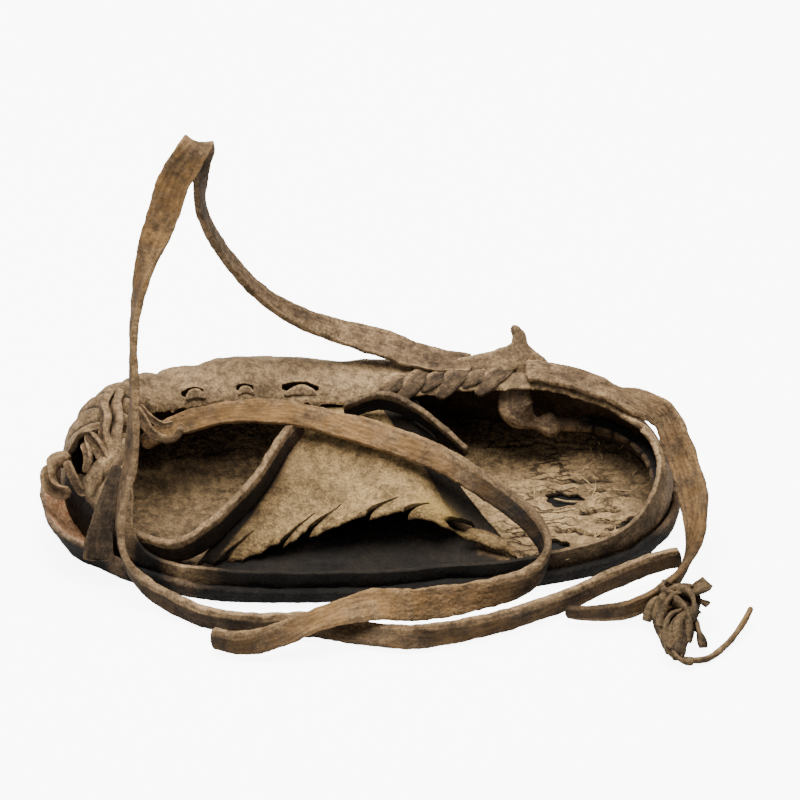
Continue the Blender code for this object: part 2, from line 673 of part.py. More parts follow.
clear_scene()
centre_last()
build_sole()
build_insole()
build_upper()
build_flap()
build_lacing()
build_drawstring()
build_thongs()
build_tassel()
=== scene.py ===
"""A gathered hide shoe, dried stiff and dusty, as it stands on a pale table.

The toe points to -X, the shoe's right side is +Y and the sole rests on Z = 0. Sizes are in
millimetres and become metres when a mesh is made.
"""

import math

import bpy
import numpy as np
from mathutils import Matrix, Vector, noise


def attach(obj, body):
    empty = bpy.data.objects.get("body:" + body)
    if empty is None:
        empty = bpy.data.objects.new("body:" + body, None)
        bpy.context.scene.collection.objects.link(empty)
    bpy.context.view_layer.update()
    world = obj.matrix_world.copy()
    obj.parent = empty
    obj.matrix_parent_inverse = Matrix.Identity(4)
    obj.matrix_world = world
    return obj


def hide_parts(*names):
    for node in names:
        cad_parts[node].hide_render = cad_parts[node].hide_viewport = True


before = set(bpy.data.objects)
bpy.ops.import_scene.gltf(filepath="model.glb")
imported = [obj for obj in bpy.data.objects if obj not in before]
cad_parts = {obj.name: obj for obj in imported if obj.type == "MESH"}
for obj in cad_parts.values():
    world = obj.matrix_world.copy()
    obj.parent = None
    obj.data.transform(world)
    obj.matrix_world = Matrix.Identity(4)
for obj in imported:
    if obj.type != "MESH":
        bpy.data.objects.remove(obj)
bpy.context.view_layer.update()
MM = 0.001

# Studio
# A pale matt table top under one broad soft light that hangs over and behind the shoe, a weak
# fill from the front, and a long lens at the photograph's angle.
VIEW_RISE = math.radians(38)
VIEW_AIM = np.array([14.9, 26.5, 33.9]) * MM
VIEW_AWAY = 6.0
VIEW_WIDTH = 0.2988
SENSOR = 36.0
TABLE_REACH = 3.0
TABLE_COLOUR, TABLE_GLOW = (0.84, 0.84, 0.835, 1), 9.0
# Rows: place, aim, size, power and colour
SOFT_LIGHTS = {
    "overhead": ((-0.05, 0.16, 1.35), (0.0, 0.0, 0.02), 1.3, 62.0, (1.0, 0.955, 0.9)),
    "front_fill": ((-0.7, -1.3, 0.8), (0.0, 0.0, 0.03), 1.0, 4.0, (1.0, 0.98, 0.96)),
}
SKY_COLOUR, SKY_STRENGTH = (0.95, 0.97, 1.0, 1), 0.14


def node(tree, kind, inputs=(), **settings):
    """A new node with its settings; each named input is linked to a socket or given a value."""
    made = tree.nodes.new(kind)
    for name, value in settings.items():
        setattr(made, name, value)
    for name, value in dict(inputs).items():
        if isinstance(value, bpy.types.NodeSocket):
            tree.links.new(value, made.inputs[name])
        else:
            made.inputs[name].default_value = value
    return made


def object_place(tree):
    return node(tree, "ShaderNodeTexCoord").outputs["Object"]


def noise_value(tree, where, scale, detail=4.0, roughness=0.55):
    inputs = {"Vector": where, "Scale": scale, "Detail": detail, "Roughness": roughness}
    return node(tree, "ShaderNodeTexNoise", inputs).outputs["Fac"]


def ramp(tree, value, low, high, to_low=0.0, to_high=1.0):
    """The value eased from one range into another."""
    inputs = {"Value": value, "From Min": low, "From Max": high, "To Min": to_low, "To Max": to_high}
    return node(tree, "ShaderNodeMapRange", inputs, interpolation_type="SMOOTHSTEP").outputs["Result"]


def reckon(tree, way, value, *more):
    """A value with each further one added to it, taken from it or multiplied into it."""
    for other in more:
        value = node(tree, "ShaderNodeMath", {0: value, 1: other}, operation=way).outputs[0]
    return value


def tint(tree, share, first, second, way="MIX"):
    """Two colours mixed by a share of the second."""
    inputs = {0: share, 6: first, 7: second}
    return node(tree, "ShaderNodeMix", inputs, data_type="RGBA", blend_type=way).outputs[2]


def new_material(name):
    """A material with its tree and its shader."""
    made = bpy.data.materials.new(name)
    made.use_nodes = True
    return made, made.node_tree, made.node_tree.nodes["Principled BSDF"]


def add_object(name, data):
    made = bpy.data.objects.new(name, data)
    bpy.context.scene.collection.objects.link(made)
    return made


for name, (place, aim, size, power, colour) in SOFT_LIGHTS.items():
    lamp = bpy.data.lights.new(name, "AREA")
    lamp.shape, lamp.size, lamp.energy, lamp.color = "DISK", size, power, colour
    light = add_object(name, lamp)
    light.location = place
    light.rotation_euler = (Vector(place) - Vector(aim)).to_track_quat("Z", "Y").to_euler()

sky = bpy.data.worlds.new("studio_sky")
sky.use_nodes = True
glow = sky.node_tree.nodes["Background"].inputs
glow["Color"].default_value, glow["Strength"].default_value = SKY_COLOUR, SKY_STRENGTH
bpy.context.scene.world = sky

table_material, tree, shader = new_material("table_top")
coords = object_place(tree)
cloud = ramp(tree, noise_value(tree, coords, 3.0), 0.3, 0.7, 0.97, 1.0)
tree.links.new(tint(tree, 1.0, TABLE_COLOUR, cloud, "MULTIPLY"), shader.inputs["Base Color"])
shader.inputs["Roughness"].default_value = 0.7
shader.inputs["Emission Color"].default_value = TABLE_COLOUR
seen = node(tree, "ShaderNodeLightPath").outputs["Is Camera Ray"]
tree.links.new(reckon(tree, "MULTIPLY", seen, TABLE_GLOW), shader.inputs["Emission Strength"])
table_mesh = bpy.data.meshes.new("table_top")
corners = [(x * TABLE_REACH, y * TABLE_REACH, 0) for x, y in ((-1, -1), (1, -1), (1, 1), (-1, 1))]
table_mesh.from_pydata(corners, [], [(0, 1, 2, 3)])
table_mesh.materials.append(table_material)
add_object("table_top", table_mesh)

lens = bpy.data.cameras.new("view")
lens.sensor_width = SENSOR
lens.lens = SENSOR * VIEW_AWAY / VIEW_WIDTH
camera = add_object("view", lens)
camera.location = VIEW_AIM + VIEW_AWAY * np.array([0, -math.cos(VIEW_RISE), math.sin(VIEW_RISE)])
camera.rotation_euler = (math.pi / 2 - VIEW_RISE, 0, 0)
bpy.context.scene.camera = camera

# Sole
# One thick plate of hide, soaked and pressed so that its edge turns up outside the wall, then
# dried hard. At the toe the turned-up edge stands open and shows its raw, orange inner face.
GAP = 0.3
WALL_THICK = 2.2
SOLE_THICK = 4.0
LIP_THICK = 3.2
TREAD_INSET = 1.8
ARCH_START, ARCH_END, ARCH_LIFT = 2.0, 66.0, 1.2
SPRING_START, SPRING_END, SPRING_LIFT = -74.0, -116.0, 4.0
SOLE_COLUMNS = 640
# The last, one row for each section round the foot, from the heel by the right side to the toe.
# x and y: where the wall stands on the sole. wall: its height along the hide. flare and curl: its
# slope outward at the sole and inward at the rim. lip, lean and reach: height and outward slope of
# the sole's turned-up edge, and its distance from the wall.
LAST_COLUMNS = ("x", "y", "wall", "flare", "curl", "lip", "lean", "reach")
LAST = {
    "heel back": (114.5, 0, 27, 6, 40, 6, 0, 0),
    "heel right": (101, 31, 42, 8, 100, 6, 0, 0),
    "seat right": (74, 45, 52, 8, 114, 6, 0, 0),
    "waist right": (38, 49, 57, 4, 126, 6, 0, 0),
    "instep right": (-4, 50, 66, 4, 148, 6, 0, 0),
    "ball right": (-50, 49, 68, 5, 150, 6, 0, 0),
    "toe right": (-85, 38, 62, 8, 146, 8, 0, 0),
    "toe cap right": (-103, 20, 56, 10, 140, 9, 4, 0),
    "toe tip": (-109, -2, 51, 10, 136, 11, 12, 2),
    "toe cap left": (-101, -22, 44, 9, 124, 13, 20, 5),
    "toe corner left": (-92, -32, 32, 7, 90, 9, 10, 2),
    "toe left": (-80, -40, 10.5, 5, 20, 5, 0, 0),
    "ball left": (-52, -49, 9, 5, 14, 4, 0, 0),
    "instep left": (-8, -49.5, 8, 5, 10, 3, 0, 0),
    "waist left": (38, -45, 7, 5, 10, 3, 0, 0),
    "seat left": (74, -38, 9, 5, 12, 3, 0, 0),
    "heel left": (101, -26, 13, 8, 22, 5, 0, 0),
}
ROW = {name: index for index, name in enumerate(LAST)}
SECTIONS = {column: np.array(values, float) for column, values in zip(LAST_COLUMNS, zip(*LAST.values()))}


def smooth_step(share):
    share = np.clip(share, 0, 1)
    return share * share * (3 - 2 * share)


def rises(value, start, span):
    """From 0 at the start to 1 a span beyond it."""
    return smooth_step((value - start) / span)


def falls(value, end, span):
    """From 1 a span before the end to 0 at the end."""
    return smooth_step((end - value) / span)


def close_to(value, middle, width):
    """1 at the middle, and almost 0 two widths away from it."""
    return np.exp(-(((value - middle) / width) ** 2))


def unit(vectors):
    return vectors / np.linalg.norm(vectors, axis=-1, keepdims=True)


def cubic(before, start, end, after, share):
    """The curve between start and end that leaves and arrives in line with its neighbours."""
    share = np.asarray(share)[..., None]
    lift = 2 * start + (end - before) * share
    square = (2 * before - 5 * start + 4 * end - after) * share**2
    return 0.5 * (lift + square + (3 * start - before - 3 * end + after) * share**3)


def closed_curve(values, at):
    """Values on a closed curve through the rows, at places counted in rows."""
    row = np.floor(at).astype(int)
    near = [values[(row + step) % len(values)] for step in (-1, 0, 1, 2)]
    return cubic(*near, at - row)


def relief_noise(points, size, seed, octaves=3):
    """Soft random relief from about -1 to 1 at places in millimetres, with lumps of the given size."""
    spots = (points.reshape(-1, 3) / size + np.array([seed, 1.7 * seed, -seed])).tolist()
    found = [noise.fractal(spot, 1.0, 2.0, octaves) for spot in spots]
    return np.array(found).reshape(points.shape[:-1])


def ground(x):
    """How far the sole's underside is off the floor."""
    arch = ARCH_LIFT * np.sin(np.pi * np.clip((x - ARCH_START) / (ARCH_END - ARCH_START), 0, 1)) ** 2
    spring = SPRING_LIFT * rises(x, SPRING_START, SPRING_END - SPRING_START)
    return arch + spring


def section(at):
    """The last's columns at places round the foot, and the way out of the shoe there."""
    at = np.asarray(at, float)
    columns = closed_curve(np.stack([SECTIONS[c] for c in LAST_COLUMNS], axis=-1), at)
    plan = np.stack([SECTIONS["x"], SECTIONS["y"]], axis=-1)
    along = unit(closed_curve(plan, at + 0.01) - closed_curve(plan, at - 0.01))
    found = dict(zip(LAST_COLUMNS, np.moveaxis(columns, -1, 0)))
    found["out"] = np.stack([along[..., 1], -along[..., 0]], axis=-1)
    return found


def outline(at, out, height):
    """A ring round the foot, out from the wall's middle, at a height over the sole's underside."""
    row = section(at)
    x = row["x"] + out * row["out"][..., 0]
    y = row["y"] + out * row["out"][..., 1]
    return np.stack([x, y, ground(row["x"]) + height], axis=-1)


def shrunk(ring, share, height):
    """The ring drawn in towards the sole's middle, at a height over the underside."""
    x, y = ring[:, 0] * share, ring[:, 1] * share
    return np.stack([x, y, ground(x) + height], axis=-1)


def round_corners(rings, times):
    """Cuts the corners of a profile of rings, and keeps its two ends."""
    for _ in range(times):
        near = 0.75 * rings[:-1] + 0.25 * rings[1:]
        far = 0.25 * rings[:-1] + 0.75 * rings[1:]
        between = np.stack([near, far], axis=1).reshape(-1, *rings.shape[1:])
        rings = np.concatenate([rings[:1], between, rings[-1:]])
    return rings


def grid_cells(columns, levels, closed):
    """The cells of a grid of points as corner numbers, by column and level."""
    number = np.arange(columns * levels).reshape(columns, levels)
    ahead = np.roll(number, -1, axis=0) if closed else number[1:]
    here = number if closed else number[:-1]
    return np.stack([here[:, :-1], ahead[:, :-1], ahead[:, 1:], here[:, 1:]], axis=-1)


def keep_mask(mesh, name, values):
    kept = mesh.attributes.new(name, "FLOAT", "POINT")
    kept.data.foreach_set("value", values.astype(np.float32))


def add_piece(name, points, faces, material, masks, relief=0.0):
    """A closed mesh object from points in millimetres, pushed out by a relief, with its masks kept
    as attributes. The faces come in groups of equal length."""
    used = np.unique(np.concatenate([group.ravel() for group in faces]))
    number = np.zeros(len(points), int)
    number[used] = np.arange(len(used))
    relief = np.broadcast_to(relief, len(points))[used]
    points = points[used]
    faces = [number[group] for group in faces]
    normals = np.zeros_like(points)
    volume = 0.0
    for group in faces:
        across = points[group[:, 2]] - points[group[:, 0]]
        way = np.cross(across, points[group[:, -1]] - points[group[:, 1]])
        volume += np.sum(way * points[group].mean(axis=1))
        for corner in group.T:
            np.add.at(normals, corner, way)
    turn = 1 if volume > 0 else -1
    normals *= turn / np.maximum(np.linalg.norm(normals, axis=1, keepdims=True), 1e-9)
    points = points + relief[:, None] * normals
    mesh = bpy.data.meshes.new(name)
    corners = [face for group in faces for face in group[:, ::turn].tolist()]
    mesh.from_pydata((points * MM).tolist(), [], corners)
    for mask, values in masks.items():
        keep_mask(mesh, mask, np.broadcast_to(values, len(number))[used])
    mesh.shade_smooth()
    mesh.set_sharp_from_angle(angle=math.radians(60))
    mesh.materials.append(material)
    return add_object(name, mesh)


def add_rings(name, rings, material, masks, relief=0.0):
    """A closed piece from rings of points; the first and the last ring are one point each."""
    count, around = rings.shape[:2]
    cells = grid_cells(count, around + 1, False).reshape(-1, 4)
    row, column = np.divmod(cells, around + 1)
    cells = row * around + column % around
    inner = cells[(row.min(axis=1) > 0) & (row.max(axis=1) < count - 1)]
    turn = np.arange(around)
    after = (turn + 1) % around
    last = (count - 1) * around
    first_cap = np.stack([np.zeros(around, int), around + turn, around + after], axis=-1)
    last_cap = np.stack([np.full(around, last), last - around + after, last - around + turn], axis=-1)
    faces = [inner[:, ::-1], np.concatenate([first_cap[:, ::-1], last_cap[:, ::-1]])]
    masks = {mask: np.broadcast_to(values, rings.shape[:2]).ravel() for mask, values in masks.items()}
    relief = np.broadcast_to(relief, rings.shape[:2]).ravel()
    return add_piece(name, rings.reshape(-1, 3), faces, material, masks, relief)


def settle(piece, slot, *solids):
    """Says that a piece rides on the one body, and which solid it stands for; the slot is not used."""
    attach(piece, "root")
    for solid in solids:
        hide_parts(solid)


def new_group(name, kind, inputs, outputs):
    """An empty node group, and the sockets that bring its inputs. Rows have a socket's name and
    kind, and for most inputs the value that it starts with."""
    tree = bpy.data.node_groups.new(name, kind)
    for label, socket, *start in inputs:
        made = tree.interface.new_socket(label, in_out="INPUT", socket_type="NodeSocket" + socket)
        if start:
            made.default_value = start[0]
    for label, socket in outputs:
        tree.interface.new_socket(label, in_out="OUTPUT", socket_type="NodeSocket" + socket)
    return tree, node(tree, "NodeGroupInput").outputs


def dusty_hide_group():
    """Old hide: a mottled brown that dust has settled on, with fine speckles and a pebbled grain."""
    inputs = (
        ("Deep", "Color", (0.05, 0.035, 0.022, 1)),
        ("Hide", "Color", (0.16, 0.11, 0.07, 1)),
        ("Dust", "Color", (0.3, 0.25, 0.18, 1)),
        ("Mottle Scale", "Float", 90.0),
        ("Grain Scale", "Float", 1100.0),
        ("Dusty", "Float", 0.6),
        ("Worn", "Float", 0.0),
        ("Soiled", "Float", 0.0),
    )
    outputs = (("Color", "Color"), ("Roughness", "Float"), ("Height", "Float"))
    tree, given = new_group("dusty hide", "ShaderNodeTree", inputs, outputs)
    coords = object_place(tree)
    mottle = noise_value(tree, coords, given["Mottle Scale"], 6.0, 0.62)
    patches = noise_value(tree, coords, reckon(tree, "MULTIPLY", given["Mottle Scale"], 0.37), 4.0, 0.6)
    speckle = noise_value(tree, coords, given["Grain Scale"], 3.0, 0.7)
    coarse = noise_value(tree, coords, reckon(tree, "MULTIPLY", given["Grain Scale"], 0.3), 3.0, 0.6)
    pebble_inputs = {"Vector": coords, "Scale": reckon(tree, "MULTIPLY", given["Grain Scale"], 0.62)}
    pebbles = node(tree, "ShaderNodeTexVoronoi", pebble_inputs).outputs["Distance"]
    colour = tint(tree, ramp(tree, mottle, 0.34, 0.64), given["Deep"], given["Hide"])
    normal = node(tree, "ShaderNodeNewGeometry").outputs["Normal"]
    facing_up = node(tree, "ShaderNodeSeparateXYZ", {0: normal}).outputs["Z"]
    upward = ramp(tree, facing_up, -0.2, 0.9, 0.15, 1.0)
    patchy, broken = ramp(tree, patches, 0.32, 0.62), ramp(tree, coarse, 0.3, 0.6, 0.45, 1.0)
    settled = reckon(tree, "MULTIPLY", upward, patchy, given["Dusty"], broken)
    colour = tint(tree, settled, colour, given["Dust"])
    # The wear and light mask pales the hide towards dust: real wear, and painted light
    worn_and_lit = reckon(tree, "MULTIPLY", given["Worn"], ramp(tree, coarse, 0.25, 0.6, 0.35, 1.0))
    colour = tint(tree, worn_and_lit, colour, given["Dust"])
    colour = tint(tree, 1.0, colour, ramp(tree, speckle, 0.3, 0.7, 0.58, 1.3), "MULTIPLY")
    colour = tint(tree, 1.0, colour, ramp(tree, coarse, 0.3, 0.7, 0.74, 1.18), "MULTIPLY")
    # The soil and shade mask darkens the hide, to near black where it is high: real soil, and painted shade
    colour = tint(tree, given["Soiled"], colour, tint(tree, 0.85, colour, given["Deep"], "MULTIPLY"))
    colour = tint(tree, 1.0, colour, ramp(tree, given["Soiled"], 0.8, 1.0, 1.0, 0.14), "MULTIPLY")
    shares = ((speckle, 0.5), (coarse, 0.9), (pebbles, -0.55), (mottle, 0.9))
    height = reckon(tree, "ADD", *[reckon(tree, "MULTIPLY", value, share) for value, share in shares])
    results = {"Color": colour, "Roughness": ramp(tree, mottle, 0.3, 0.7, 0.93, 0.76), "Height": height}
    node(tree, "NodeGroupOutput", results)
    return tree


dusty_hide = dusty_hide_group()


def attribute(tree, name):
    return node(tree, "ShaderNodeAttribute", attribute_name=name).outputs["Fac"]


def set_looks(tree, shader, colour, height, bump, strength=0.9):
    """Gives a shader its colour, and the bump that a height makes."""
    raised = node(tree, "ShaderNodeBump", {"Strength": strength, "Distance": bump, "Height": height})
    tree.links.new(colour, shader.inputs["Base Color"])
    tree.links.new(raised.outputs["Normal"], shader.inputs["Normal"])


def hide_material(name, deep, hide, dust, bump, **numbers):
    """A material of dusty hide; worn places and painted light, soiled places and painted shade come from the
    mesh's attributes.
    """
    made, tree, shader = new_material(name)
    inputs = {"Deep": (*deep, 1), "Hide": (*hide, 1), "Dust": (*dust, 1), **numbers}
    inputs |= {"Worn": attribute(tree, "worn"), "Soiled": attribute(tree, "soiled")}
    look = node(tree, "ShaderNodeGroup", inputs, node_tree=dusty_hide).outputs
    set_looks(tree, shader, look["Color"], look["Height"], bump)
    tree.links.new(look["Roughness"], shader.inputs["Roughness"])
    shader.inputs["Specular IOR Level"].default_value = 0.3
    return made, tree, shader, look


# The last is moved so that the sole's turned-up edge is centred on the origin
spots = section(np.arange(0, len(LAST), 0.02))
lip_slope = np.radians(spots["flare"] + spots["lean"])
lip_edge = WALL_THICK / 2 + GAP + spots["reach"] + LIP_THICK + spots["lip"] * np.sin(lip_slope)
for k, axis in enumerate("xy"):
    lip_place = spots[axis] + lip_edge * spots["out"][:, k]
    SECTIONS[axis] -= (lip_place.min() + lip_place.max()) / 2

INSOLE_EDGE = -(WALL_THICK / 2 + GAP + 0.2)
RAW_FROM, RAW_TO = ROW["toe tip"] - 0.2, ROW["toe corner left"] + 0.4
# The shoe's left side is painted near black as shade from here to here, and left lit and paler at one place
DARK_FROM, DARK_TO = ROW["toe corner left"] + 0.6, len(LAST) - 0.1
LIT_PATCH_AT = ROW["ball left"] - 0.36


def shaded_side(at):
    """How far the painted shade on the left side reaches, at places round the foot."""
    return rises(at, DARK_FROM, 0.3) * falls(at, DARK_TO, 0.8)


around = np.arange(SOLE_COLUMNS) * len(LAST) / SOLE_COLUMNS
row = section(around)
inner_out = WALL_THICK / 2 + GAP + row["reach"]
outer_out = inner_out + LIP_THICK
lip_slope = np.radians(row["flare"] + row["lean"])[:, None]
lip_out = np.concatenate([row["out"], np.zeros((SOLE_COLUMNS, 1))], axis=1)
lip_way = np.sin(lip_slope) * lip_out + np.cos(lip_slope) * np.array([0, 0, 1.0])
lip_rise = row["lip"][:, None] * lip_way
turn = around * 2 * np.pi / len(LAST)
wave = np.stack([np.cos(turn), np.sin(turn), 0 * turn], -1)
lip_wave = 1 + 0.11 * relief_noise(wave, 0.16, 3.0)[:, None]
inner_foot = outline(around, inner_out, SOLE_THICK)
outer_foot = outline(around, outer_out, SOLE_THICK * 0.6)
inner_top = inner_foot + lip_rise * lip_wave
outer_top = outer_foot + lip_rise * lip_wave + np.array([0, 0, SOLE_THICK * 0.4 - 0.8])
tread = outline(around, outer_out - TREAD_INSET, 0)
plate_edge = outline(around, INSOLE_EDGE, SOLE_THICK)
under = [shrunk(tread, share, 0) for share in (0, 0.3, 0.6, 0.85)]
plate = [shrunk(plate_edge, share, SOLE_THICK) for share in (0.85, 0.5, 0)]
lip = [outer_foot, (outer_foot + outer_top) / 2, outer_top, inner_top, inner_foot]
profile = [*under, tread, *lip, plate_edge, *plate]
rings = round_corners(np.stack(profile), 2)
ring_share = np.linspace(0, len(profile) - 1, len(rings))[:, None]
TREAD_AT, TOP_AT, INNER_AT = 4, 7.5, 9
on_lip = close_to(ring_share, TOP_AT, 0.9)
in_raw = rises(around, RAW_FROM, 0.25) * falls(around, RAW_TO, 0.25)
raw = in_raw * rises(ring_share, TOP_AT, 0.5) * falls(ring_share, INNER_AT + 1, 0.8)
side = rises(ring_share, TREAD_AT, 0.5) * falls(ring_share, INNER_AT + 0.5, 0.5)
lumps = 0.42 * relief_noise(rings, 9.0, 5.0) + 0.16 * relief_noise(rings, 2.2, 8.0)
sole_relief = np.where(ring_share < TREAD_AT + 0.6, -np.abs(lumps) * 0.8, lumps) * (0.35 + 0.65 * side)
# The sole's left side is painted near black as shade, lifted at the lit patch
near_side = shaded_side(around)
near_side *= 1 - 0.7 * close_to(around, LIT_PATCH_AT, 0.22)
outside = falls(ring_share, TOP_AT - 0.2, 0.6)
sole_soil = 0.5 * (ring_share < TREAD_AT + 1) + 0.35 * (1 - on_lip) * side + 0.75 * in_raw * outside
rubbing = (1 - near_side) * (1 - 0.8 * in_raw * outside) * on_lip
sole_masks = {
    "worn": np.clip(rubbing * (0.5 + 0.8 * relief_noise(rings, 12.0, 2.0)), 0, 1),
    "soiled": np.clip(sole_soil + near_side + (ring_share > INNER_AT + 1), 0, 1),
    "raw": raw,
}
RAW_HIDE, RAW_PALE = (0.37, 0.175, 0.082, 1), (0.58, 0.38, 0.22, 1)
sole_material, tree, shader, look = hide_material(
    "sole_hide", (0.028, 0.018, 0.011), (0.11, 0.066, 0.036), (0.27, 0.185, 0.11), 0.0007, Dusty=0.35
)
coords = object_place(tree)
crumbs = noise_value(tree, coords, 700.0, 3.0, 0.7)
raw_colour = tint(tree, ramp(tree, crumbs, 0.4, 0.66), RAW_HIDE, RAW_PALE)
sole_colour = tint(tree, attribute(tree, "raw"), look["Color"], raw_colour)
tree.links.new(sole_colour, shader.inputs["Base Color"])
sole = add_rings("sole_plate", rings, sole_material, sole_masks, sole_relief)
settle(sole, "sole_hide", "sole")

# Insole
# A thinner sheet of hide laid in the tray, its edge tucked inside the wall's foot. It has dried
# and cracked, and at the heel the wearer's foot has worn it through to its fibres.
INSOLE_THICK = 2.4
INSOLE_BASE = SOLE_THICK + GAP + 0.15
INSOLE_STRETCHES = (
    (-107.4, -106, 0.2), (-106, -40, 0.75), (-40, 40, 1.6), (40, 110, 0.5), (110, 111.6, 0.2),
)
INSOLE_ROWS = 104
# Holes worn through the heel: centre, half length and half width
WORN_HOLES = ((76.0, 2.0, 7.0, 4.2), (72.0, -26.0, 6.0, 4.0))
WORN_HOLE_RAGGED = 0.2
# Cracks, one row each: both ends, the half width and the depth
CRACKS = (
    (42, 31, 70, 35, 0.7, 1.3),
    (58, 37, 92, 30, 0.6, 0.9),
    (66, 12, 99, 12, 0.7, 1.4),
    (80, 8, 104, 3, 0.6, 1.0),
    (78, -7, 100, -6, 0.8, 1.5),
    (84, -13, 106, -12, 0.6, 1.1),
    (68, -17, 100, -22, 0.8, 1.5),
    (52, -22, 74, -19, 0.6, 1.0),
    (90, -18, 107, -9, 0.9, 1.5),
    (60, 20, 84, 23, 0.5, 0.8),
)
# What the flap covers, where the insole is painted near black as the flap's shade: side place, and its toe
# and throat edges there
UNDER_FLAP = (
    (-50, -62, 66), (-38, -60, 62), (-21, -44, 50), (-5, -33, 36), (8, -26, 24), (30, -20, 16),
)
HEEL_FROM, TOE_FROM = 40, -30
CRACK_COLOUR = (0.03, 0.019, 0.01, 1)


def places(stretches):
    """Places along a line, stretch by stretch, each with its start, end and step."""
    return np.concatenate([np.arange(start, end, step) for start, end, step in stretches])


def troughs(u, v, rows, size=(1.0, 1.0)):
    """The depth of soft troughs on a surface; a row has both ends of its line, half width and depth.
    The size is that of one step of u and of v."""
    u, v = u * size[0], v * size[1]
    depth = np.zeros(np.broadcast(u, v).shape)
    for *line, half_width, deep in rows:
        start_u, start_v, end_u, end_v = np.array(line) * (*size, *size)
        run = np.array([end_u - start_u, end_v - start_v], float)
        length = np.hypot(*run)
        share = ((u - start_u) * run[0] + (v - start_v) * run[1]) / length**2
        aside = ((u - start_u) * run[1] - (v - start_v) * run[0]) / length
        ends = smooth_step(share / 0.25) * falls(share, 1, 0.25)
        depth += deep * ends * close_to(aside, 0, half_width)
    return depth


def cut_hole(u, v, hole, ragged, seed):
    """Moves the places of a grid that lie inside a ragged hole to its edge. Also tells which lie
    inside, and how far each place is from the middle, with 1 at the edge."""
    middle_u, middle_v, half_u, half_v = hole
    du, dv = (u - middle_u) / half_u, (v - middle_v) / half_v
    turn = np.arctan2(dv, du)
    edge = 1 + ragged * (0.6 * np.sin(3 * turn + seed) + 0.5 * np.sin(7 * turn + 2.3 * seed))
    away = np.hypot(du, dv) / edge
    inside = away < 1
    pull = np.where(inside, 1 / np.maximum(away, 1e-3), 1)
    return middle_u + du * pull * half_u, middle_v + dv * pull * half_v, inside, away


def add_sheet(name, low, high, keep, material, masks, relief=(0.0, 0.0), closed=False):
    """A closed sheet from the kept cells of a grid on two sides, joined round every free edge.
    Each mask, and the relief, has values for the high side and for the low side."""
    columns, levels = low.shape[:2]
    under = columns * levels
    cells = grid_cells(columns, levels, closed)[keep]
    edges = np.concatenate([cells[:, [k, (k + 1) % 4]] for k in range(4)])
    code = edges.min(axis=1) * under + edges.max(axis=1)
    _, first, count = np.unique(code, return_index=True, return_counts=True)
    free = edges[first[count == 1]]
    walls = np.stack([free[:, 1], free[:, 0], free[:, 0] + under, free[:, 1] + under], axis=-1)
    points = np.concatenate([high.reshape(-1, 3), low.reshape(-1, 3)])

    def both(sides):
        return np.concatenate([np.broadcast_to(side, (columns, levels)).ravel() for side in sides])

    masks = {mask: both(sides) for mask, sides in masks.items()}
    faces = [np.concatenate([cells, cells[:, ::-1] + under, walls])]
    return add_piece(name, points, faces, material, masks, both(relief))


def all_kept(inside, closed=False):
    """The cells of a grid with a corner outside the holes."""
    ahead = np.roll(inside, -1, axis=0) if closed else inside[1:]
    here = inside if closed else inside[:-1]
    return ~(here[:, :-1] & here[:, 1:] & ahead[:, :-1] & ahead[:, 1:])


def cracks_group():
    """Fine cracks of dried hide: a net of thin dark lines with a wandering course."""
    inputs = (("Scale", "Float", 120.0), ("Stretch", "Float", 1.0), ("Width", "Float", 0.06))
    tree, given = new_group("dry cracks", "ShaderNodeTree", inputs, (("Crack", "Float"),))
    coords = object_place(tree)
    wander_inputs = {"Vector": coords, "Scale": 160.0, "Detail": 4.0}
    wander = node(tree, "ShaderNodeTexNoise", wander_inputs).outputs["Color"]
    squeeze = node(tree, "ShaderNodeCombineXYZ", {"X": given["Stretch"], "Y": 1.0, "Z": 1.0}).outputs[0]
    for way, inputs in (("SCALE", {"Scale": 0.007}), ("ADD", {1: coords}), ("MULTIPLY", {1: squeeze})):
        wander = node(tree, "ShaderNodeVectorMath", {0: wander, **inputs}, operation=way).outputs[0]
    net_inputs = {"Vector": wander, "Scale": given["Scale"]}
    net = node(tree, "ShaderNodeTexVoronoi", net_inputs, feature="DISTANCE_TO_EDGE").outputs["Distance"]
    node(tree, "NodeGroupOutput", {"Crack": ramp(tree, net, 0.0, given["Width"], 1.0, 0.0)})
    return tree


foot_ring = outline(np.arange(0, len(LAST), 0.01), INSOLE_EDGE - 0.2, 0)
foot_ring = np.roll(foot_ring, -np.argmax(foot_ring[:, 0]), axis=0)
toe_end = np.argmin(foot_ring[:, 0])
insole_x = places(INSOLE_STRETCHES)
insole_x = insole_x[(insole_x > foot_ring[toe_end, 0] + 0.1) & (insole_x < foot_ring[0, 0] - 0.1)]
right_y = np.interp(insole_x, foot_ring[toe_end::-1, 0], foot_ring[toe_end::-1, 1])
left_y = np.interp(insole_x, foot_ring[toe_end:, 0], foot_ring[toe_end:, 1])
x, side_share = np.meshgrid(insole_x, np.linspace(0, 1, INSOLE_ROWS), indexing="ij")
y = left_y[:, None] + (right_y - left_y)[:, None] * side_share
inside = np.zeros(x.shape, bool)
hole_edge = np.zeros(x.shape)
for seed, hole in enumerate(WORN_HOLES):
    x, y, within, away = cut_hole(x, y, hole, WORN_HOLE_RAGGED, seed + 1.0)
    inside |= within
    hole_edge = np.maximum(hole_edge, np.exp(-3.0 * np.maximum(away - 1, 0)))
flat = np.stack([x, y, 0 * x], axis=-1)
wander = 1.6 * relief_noise(flat, 6.0, 4.0)
heel = rises(x, HEEL_FROM, 22)
toe = falls(x, TOE_FROM, 20)
crack_depth = troughs(x, y + wander, CRACKS)
crack_lips = troughs(x, y + wander - 1.3, CRACKS)
near_wall = np.exp(-np.minimum(side_share, 1 - side_share) * (right_y - left_y)[:, None] / 4.0)
